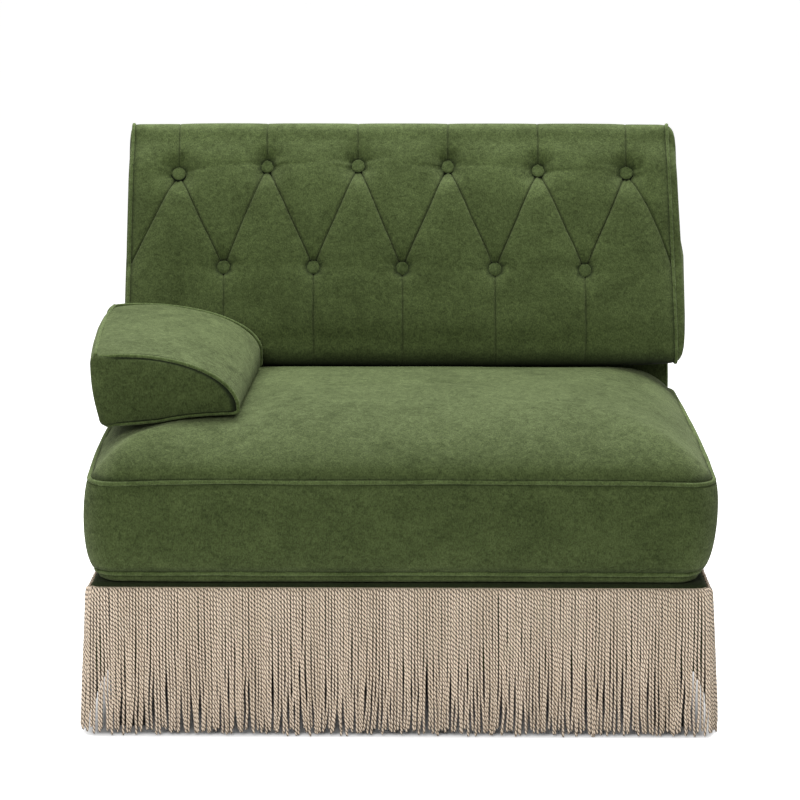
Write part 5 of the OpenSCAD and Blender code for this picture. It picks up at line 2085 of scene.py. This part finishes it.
    def buttons(self) -> bpy.types.Object:
        """Makes the covered buttons: a low dome each, with a sunk rim where the cloth is drawn in, darkened
        as painted shade.

        Returns:
            The buttons, as one piece.
        """
        parts, folds = [], []
        normal = np.array([0.0, -math.cos(BACK_RAKE), math.sin(BACK_RAKE)])
        up = np.array([0.0, math.sin(BACK_RAKE), math.cos(BACK_RAKE)])
        across = np.array([1.0, 0.0, 0.0])
        # Each ring's reach in button radii, its rise in button heights and its painted shade
        profile = [(0.6, -0.75, 1.0), (1.15, -0.55, 1.0), (1.18, -0.20, 1.0), (1.10, -0.02, 1.0),
                   (1.03, 0.10, 1.0), (1.0, 0.30, 0.55), (0.95, 0.52, 0.1), (0.85, 0.72, 0.0),
                   (0.68, 0.87, 0.0), (0.46, 0.96, 0.0), (0.2, 1.0, 0.0)]
        angles = circle(self.button_sides)
        for index, (u, v) in enumerate([*self.upper, *self.lower]):
            high = index < len(self.upper)
            centre = cushion_point(np.array(u), np.array(v), np.array(self.front_depth(u, v) + 0.0006))
            tilt = (0.22 if high else 0.0) + 0.05 * math.sin(index * 2.1)
            rings = []
            for reach, rise, dark in profile:
                wavy = 1 + 0.014 * np.sin(9 * angles + index) * (reach > 0.8)
                rings.append(centre + (np.cos(angles) * wavy)[:, None] * across * self.button_r * reach
                             + (np.sin(angles) * wavy)[:, None] * (up - normal * tilt) * self.button_r * reach
                             + normal * rise * self.button_h)
                # painted shade: the rim is dark where the cloth is drawn in, and each button is a little
                # darker all over, more so in the lower row
                folds.append(np.full(len(angles), max(dark, 0.10 if high else 0.22)))
            parts.append(capped_rings(rings))
            folds.append(np.array([1.0, 0.0]))
        return mesh_piece("covered_buttons", *joined(parts), WELT_VELVET, fold=np.concatenate(folds))

    def twine(self) -> bpy.types.Object:
        """Makes the ties from the washers to the buttons, ending inside each button.

        Returns:
            The ties, as one piece.
        """
        piece = node_copy("tuft_ties", "button_twine", TWINE)
        cos, sin = math.cos(BACK_RAKE), math.sin(BACK_RAKE)
        spots = np.array([*self.upper, *self.lower])
        for vertex in piece.data.vertices:
            x, y, z = vertex.co.x, vertex.co.y - BACK_FRONT_Y, vertex.co.z - BACK_BEND_Z
            v, w = y * sin + z * cos - CUSHION_REST, z * sin - y * cos - CUSHION_GAP
            near = spots[np.argmin(np.hypot(spots[:, 0] - x, spots[:, 1] - v))]
            most = self.front_depth(*near) - 0.002
            if w > most:
                vertex.co = Vector(cushion_point(np.array(x), np.array(v), np.array(most)))
        return piece

    def build(self) -> None:
        """Builds and settles the pieces of the back cushion."""
        settle(self.cover(), Body.BACK, ["back_cushion_cover"])
        settle(self.welt(Side.LEFT, "back_left_welt"), Body.BACK, ["back_left_piping"])
        settle(self.welt(Side.RIGHT, "back_right_welt"), Body.BACK, ["back_right_piping"])
        settle(self.buttons(), Body.BACK, ["tuft_buttons"])
        settle(node_copy("back_cushion_foam", "back_filling", FOAM, 0.006), Body.BACK,
               ["back_cushion_foam"])
        settle(self.twine(), Body.BACK, ["tuft_ties"])


# ---------------------------------------------------------------------------------------------
# Arm bolster


@dataclass
class ArmBolster:
    """The loose arm bolster: a D-shaped roll that lies on the seat."""

    front: float = FRONT_Y + 0.1218
    rear: float = FRONT_Y + 0.5498
    outer_x: float = -0.4590
    outer_rear_x: float = -0.4810
    tip_x: float = -0.240
    tip_rear_x: float = -0.2315
    rear_rise: float = 0.0160
    rear_blunt: float = 0.020
    outer_drop: float = 0.002
    belly: float = 0.0045
    tip_r: float = 0.007
    foot_z: float = 0.4334
    tip_z: float = 0.4525
    top_z: float = 0.5404
    level_w: float = 0.050
    lean: float = 0.0115
    clearance: float = 0.0045
    corner_r: float = 0.012
    side_swell: float = 0.003
    top_swell: float = 0.007
    end_swell: float = 0.008
    welt_r: float = 0.0029
    side_welt_r: float = 0.0027
    groove: float = 0.003
    corner_index: int = 31

    def outline(self, share: float) -> np.ndarray:
        """The D in x and z.

        Args:
            share: the share of the way from the front to the rear.

        Returns:
            Its points, from the tip over the top, down the outer side and back along the seat.
        """
        outer = self.outer_x + (self.outer_rear_x - self.outer_x) * share \
            - self.belly * math.sin(math.pi * share)
        tip = self.tip_x + (self.tip_rear_x - self.tip_x) * share
        top = self.top_z + self.rear_rise * share
        arc_x, arc_z = outer + self.level_w, self.tip_z + 0.008 + self.rear_blunt * share
        r = self.corner_r + 0.004 * share
        drop, foot = self.outer_drop * share, outer + self.lean
        turns = np.linspace(0, math.pi / 2, 26)
        arc = np.stack([arc_x + (tip - arc_x) * np.cos(turns), arc_z + (top - arc_z) * np.sin(turns)], -1)
        steps = np.linspace(0, 1, 6)[1:-1]
        level = np.stack([np.linspace(arc_x, outer + r, 6)[1:-1], top - drop * steps ** 2], -1)

        def corner(x: float, z: float, first: float) -> np.ndarray:
            """A quarter round about a centre."""
            turn = np.radians(np.linspace(first, first + 90, 6))
            return np.stack([x + r * np.cos(turn), z + r * np.sin(turn)], -1)

        shares = np.linspace(0, 1, 10)[1:-1]
        side = np.stack([outer + self.lean * shares - self.side_swell * np.sin(math.pi * shares),
                         top - drop - r + (self.foot_z + 2 * r - top + drop) * shares], -1)
        xs = np.linspace(foot + r, tip - self.tip_r, 20)[1:]
        line = self.foot_z + (self.tip_z - self.foot_z) * np.clip((xs - outer) / (tip - outer), 0, 1)
        under = np.stack([xs, np.maximum(line, self.seat_top(xs, share))], -1)
        end, flat_r = under[-1, 1] + self.tip_r * 0.6, self.tip_r * 0.6
        turn = np.radians([-70, -50, -30, -12])
        tip_arc = np.stack([tip - self.tip_r + self.tip_r * np.cos(turn), end + flat_r * np.sin(turn)], -1)
        return np.vstack([arc, level, corner(outer + r, top - drop - r, 90), side,
                          corner(foot + r, self.foot_z + r, 180), under, tip_arc])

    def seat_top(self, x: np.ndarray, share: float) -> np.ndarray:
        """The height of the seat cushion under the bolster.

        Args:
            x: places across.
            share: the share of the way from the bolster's front to its rear.

        Returns:
            The height at each place, with a small clearance.
        """
        seat = SeatCushion()
        run = np.exp(-np.maximum(seat.top_x + x, 0) / seat.crown_run)
        y = np.full(len(x), self.front + (self.rear - self.front) * share)
        return seat.pipe_z + seat.crown * (1 - run) + seat.rear_rise * run + self.clearance - pressed(x, y)

    def ring(self, y: float, shrink: float, swell: float, groove: float = 0.0) -> np.ndarray:
        """One ring of the roll.

        Args:
            y: its place.
            shrink: how far it is drawn in to its middle, as a share.
            swell: how far its top is stuffed out, as a share.
            groove: how deep it is drawn in by a seam.

        Returns:
            Its points.
        """
        share = (y - self.front) / (self.rear - self.front)
        plan = self.outline(float(np.clip(share, 0, 1)))
        middle = (plan.min(0) + plan.max(0)) / 2
        outward = plan - middle
        outward /= np.linalg.norm(outward, axis=1)[:, None]
        z_up = np.clip((plan[:, 1] - middle[1]) / 0.03, 0, 1)
        if y < 0:
            groove = groove * self.wrapped(plan[:, :1])
        moved = plan + (middle - plan) * shrink - outward * groove
        moved[:, 1] += swell * self.top_swell * z_up
        return np.column_stack([moved[:, 0], np.full(len(plan), y), moved[:, 1]])

    @staticmethod
    def tucked(shrink: float) -> float:
        """How deep an end panel's cloth lies beside its seam, by its share of the way in; it also sets the
        painted shade there.
        """
        return 0.98 * float(1 - smoothstep(0.060, 0.125, shrink))

    @property
    def seams(self) -> tuple[float, float]:
        """The places of the front seam and the rear seam."""
        return self.front + self.end_swell, self.rear - self.end_swell

    def shell(self) -> tuple[np.ndarray, list, np.ndarray]:
        """Makes the cover's shell from the front panel to the rear panel.

        Returns:
            Its points, its faces and how near each point lies to a seam.
        """
        rings, tucks = [], []

        def add(tuck: float, *ring: float) -> None:
            """Adds one ring."""
            rings.append(self.ring(*ring))
            tucks.append(tuck)

        front, rear = self.seams
        ends = ((0.86, 1.0), (0.7, 1.0), (0.5, 0.99), (0.32, 0.93), (0.19, 0.82), (0.115, 0.69),
                (0.078, 0.56), (0.045, 0.4), (0.015, 0.16))
        for shrink, out in ends:
            add(self.tucked(shrink), front - out * self.end_swell, shrink, 0.0)
        add(1.0, front, 0.0, 0.0, self.groove)
        for share in (0.007, 0.017, *np.linspace(0, 1, 34)[1:-1]):
            add(0.0, front + (rear - front) * share, 0.0, math.sin(math.pi * share) ** 0.45)
        add(1.0, rear, 0.0, 0.0, self.groove)
        for shrink, out in reversed(ends):
            add(self.tucked(shrink), rear + out * self.end_swell, shrink, 0.0)
        points, faces = capped_rings(rings)
        return points, faces, np.concatenate([np.repeat(tucks, len(rings[0])), [0.0, 0.0]])

    def cover(self) -> bpy.types.Object:
        """Makes the velvet cover.

        Returns:
            The cover.
        """
        points, faces, seam = self.shell()
        waves = smooth_noise(points, 9.0, 51) * 0.0011
        upper = smoothstep(self.tip_z, self.top_z, points[:, 2])
        inner = np.maximum(self.wrapped(points[:, 0]), points[:, 1] > 0)
        points[:, 2] += np.where(seam > 0.5, 0, waves) * upper
        # painted shade: the cloth beside the end seams is darkened, except round the front's outer corner,
        # where only the part below the tip gets a little
        near = np.minimum(np.abs(points[:, 1] - self.front - self.end_swell),
                          np.abs(points[:, 1] - self.rear + self.end_swell))
        beside = np.maximum(seam, np.exp(-(near / 0.0036) ** 2))
        fold = 0.92 * beside * np.maximum(inner, 0.25 * (points[:, 2] < self.tip_z))
        return mesh_piece("arm_velvet", points, faces, VELVET, fold=fold)

    def wrapped(self, x: np.ndarray) -> np.ndarray:
        """How far a place is from the front corner, which one panel runs round to the side."""
        return smoothstep(self.outer_x + 0.006, self.outer_x + 0.05, x)

    def welt(self, name: str, y: float, lean: float, seed: int) -> bpy.types.Object:
        """Makes the welt round one end panel, flatter where the panel runs round the corner.

        Args:
            name: its name.
            y: the seam's place.
            lean: which way it leans off the seam, -1 or 1.
            seed: the seed of its thickness.

        Returns:
            The welt.
        """
        path = self.ring(y, 0.0, 0.0)
        path[:, 1] += lean * 0.0012
        if y < 0:
            sunk = path.mean(0) - path
            sunk /= np.linalg.norm(sunk, axis=1)[:, None]
            path += sunk * 0.0042 * (1 - self.wrapped(path[:, :1]))
            path[:, 1] += 0.003 * (1 - self.wrapped(path[:, 0]))
        return mesh_piece(name, *tube(path, self.welt_r, 10, True, 0.02, seed), WELT_VELVET)

    def side_welt(self) -> bpy.types.Object:
        """Makes the thin welt along the outer top edge, from one end's welt to the other's.

        Returns:
            The welt.
        """
        front, rear = self.seams
        path = []
        for share in np.linspace(0.0, 1.0, 44):
            swell = math.sin(math.pi * float(np.clip(share, 0.01, 0.99))) ** 0.45
            path.append(self.ring(front + (rear - front) * share, 0.0, swell)[self.corner_index])
        return mesh_piece("arm_side_welt", *tube(np.array(path), self.side_welt_r, 8, False, 0.02, 63),
                          WELT_VELVET)

    def build(self) -> None:
        """Builds and settles the pieces of the bolster."""
        front, rear = self.seams
        settle(self.cover(), Body.ARM, ["bolster_cover"])
        settle(self.welt("arm_front_welt", front, -1.0, 61), Body.ARM, ["bolster_front_piping"])
        settle(self.welt("arm_rear_welt", rear, 1.0, 62), Body.ARM, ["bolster_rear_piping"])
        settle(self.side_welt(), Body.ARM)
        settle(node_copy("bolster_foam", "arm_filling", FOAM, 0.004), Body.ARM,
               ["bolster_foam"])


# ---------------------------------------------------------------------------------------------
# Carried-over CAD pieces, studio and main


@dataclass
class Carried:
    """The rigid CAD nodes that stay, each with its finish."""

    finishes: dict = field(default_factory=lambda: {
        TIMBER: ("front_rail", "rear_rail", "back_lower_rail", "back_middle_rail", "back_top_rail"),
        TIMBER_DEEP: ("left_rail", "right_rail", "corner_blocks"),
        TIMBER_TALL: ("left_back_post", "right_back_post"),
        PLYWOOD: ("left_gusset", "right_gusset", "rear_board"),
        ZINC: ("gusset_bolts", "spring_clips", "foot_bolts", "foot_nuts"),
        LACQUER: ("front_left_foot", "front_right_foot", "rear_left_foot", "rear_right_foot"),
        SPRING: ("seat_springs",), ZIP_METAL: ("zip_slider",), PLASTIC: ("tuft_washers",)})

    def build(self) -> None:
        """Gives each node its finish."""
        for finish, nodes in self.finishes.items():
            for node in nodes:
                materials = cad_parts[node].data.materials
                materials.clear()
                materials.append(finish.material())
                log.info("%s: finished as %s", node, finish.name)


@dataclass
class Studio:
    """The camera, the pale floor and the soft lights."""

    focal: float = 121.5
    height: float = 1.198
    distance: float = 3.80
    pitch: float = 10.39
    yaw: float = 0.645
    x: float = 0.045
    front: float = -0.4384
    floor_reach: float = 30.0
    floor_glow: float = 0.72
    surround: tuple = (0.38, 1.05)

    def camera(self) -> None:
        """Sets the camera at the photograph's angle."""
        data = bpy.data.cameras.new("studio_camera")
        data.lens, data.sensor_width = self.focal, 36.0
        data.clip_start, data.clip_end = 0.1, 60.0
        holder = placed("studio_camera", data)
        turn = Matrix.Rotation(math.radians(self.yaw), 4, "Z") @ \
            Matrix.Rotation(math.radians(90 - self.pitch), 4, "X")
        holder.matrix_world = Matrix.Translation((self.x, self.front - self.distance, self.height)) @ turn
        bpy.context.scene.camera = holder

    def light(self, name: str, place: tuple, aim: tuple, size: tuple, power: float) -> None:
        """Adds one soft area light.

        Args:
            name: its name.
            place: where it hangs.
            aim: the point that it faces.
            size: its width and height.
            power: its power in watts.
        """
        data = bpy.data.lights.new(name, "AREA")
        data.shape = "RECTANGLE"
        data.size, data.size_y = size
        data.energy = power
        holder = placed(name, data)
        holder.location = place
        holder.rotation_mode = "QUATERNION"
        holder.rotation_quaternion = (Vector(aim) - Vector(place)).to_track_quat("-Z", "Y")

    def floor(self) -> None:
        """Lays a pale floor that runs out to the horizon and glows white round the seat."""
        material = bpy.data.materials.new("studio_floor")
        material.use_nodes = True
        nodes = Nodes(material.node_tree)
        x, y, _ = nodes.add("ShaderNodeSeparateXYZ", {
            0: nodes.add("ShaderNodeTexCoord").outputs["Object"]}).outputs
        outside = nodes.math("MAXIMUM", nodes.spread(nodes.math("ABSOLUTE", x), 0.44, 0.47),
                             nodes.spread(nodes.math("ABSOLUTE", y), 0.42, 0.45))
        seen = nodes.add("ShaderNodeLightPath").outputs["Is Camera Ray"]
        nodes.feed(material.node_tree.nodes["Principled BSDF"], {
            "Base Color": (0.74, 0.74, 0.74, 1), "Roughness": 0.9, "Specular IOR Level": 0.1,
            "Emission Color": (1, 1, 1, 1),
            "Emission Strength": nodes.times(nodes.times(outside, seen), self.floor_glow)})
        reach = self.floor_reach
        mesh = bpy.data.meshes.new("studio_floor")
        mesh.from_pydata([(-reach, -reach, 0), (reach, -reach, 0), (reach, reach, 0), (-reach, reach, 0)],
                         [], [(0, 1, 2, 3)])
        mesh.materials.append(material)
        ground = placed("studio_floor", mesh)

    def world(self) -> None:
        """Makes a surround that the camera sees as plain white and that lights softly."""
        world = bpy.data.worlds.new("studio")
        bpy.context.scene.world = world
        world.use_nodes = True
        nodes = Nodes(world.node_tree)
        world.node_tree.nodes.clear()
        sees = nodes.add("ShaderNodeLightPath").outputs["Is Camera Ray"]
        strength = nodes.spread(sees, 0.0, 1.0, *self.surround)
        sky = nodes.add("ShaderNodeBackground", {"Color": (1, 1, 1, 1), "Strength": strength})
        nodes.add("ShaderNodeOutputWorld", {0: sky.outputs[0]})

    def build(self) -> None:
        """Builds the studio."""
        self.camera()
        self.floor()
        self.world()
        self.light("top_softbox", (0.0, 0.55, 3.0), (0, 0, 0.3), (3.0, 2.0), 172.0)
        self.light("front_softbox", (-0.7, -3.4, 2.25), (0, 0, 0.25), (2.2, 1.6), 88.0)
        view = bpy.context.scene.view_settings
        view.view_transform = "Standard"
        view.look = "None"


def main() -> None:
    """Builds the studio and every piece."""
    logging.basicConfig(level=logging.INFO, format="%(name)s: %(message)s")
    bpy.context.scene.render.fps = 24
    for part in (Studio(), Carried(), Base(), Fringe(), BackFrame(), SeatCushion(), BackCushion(),
                 ArmBolster()):
        part.build()
    bpy.context.view_layer.update()


if __name__ == "__main__":
    main()
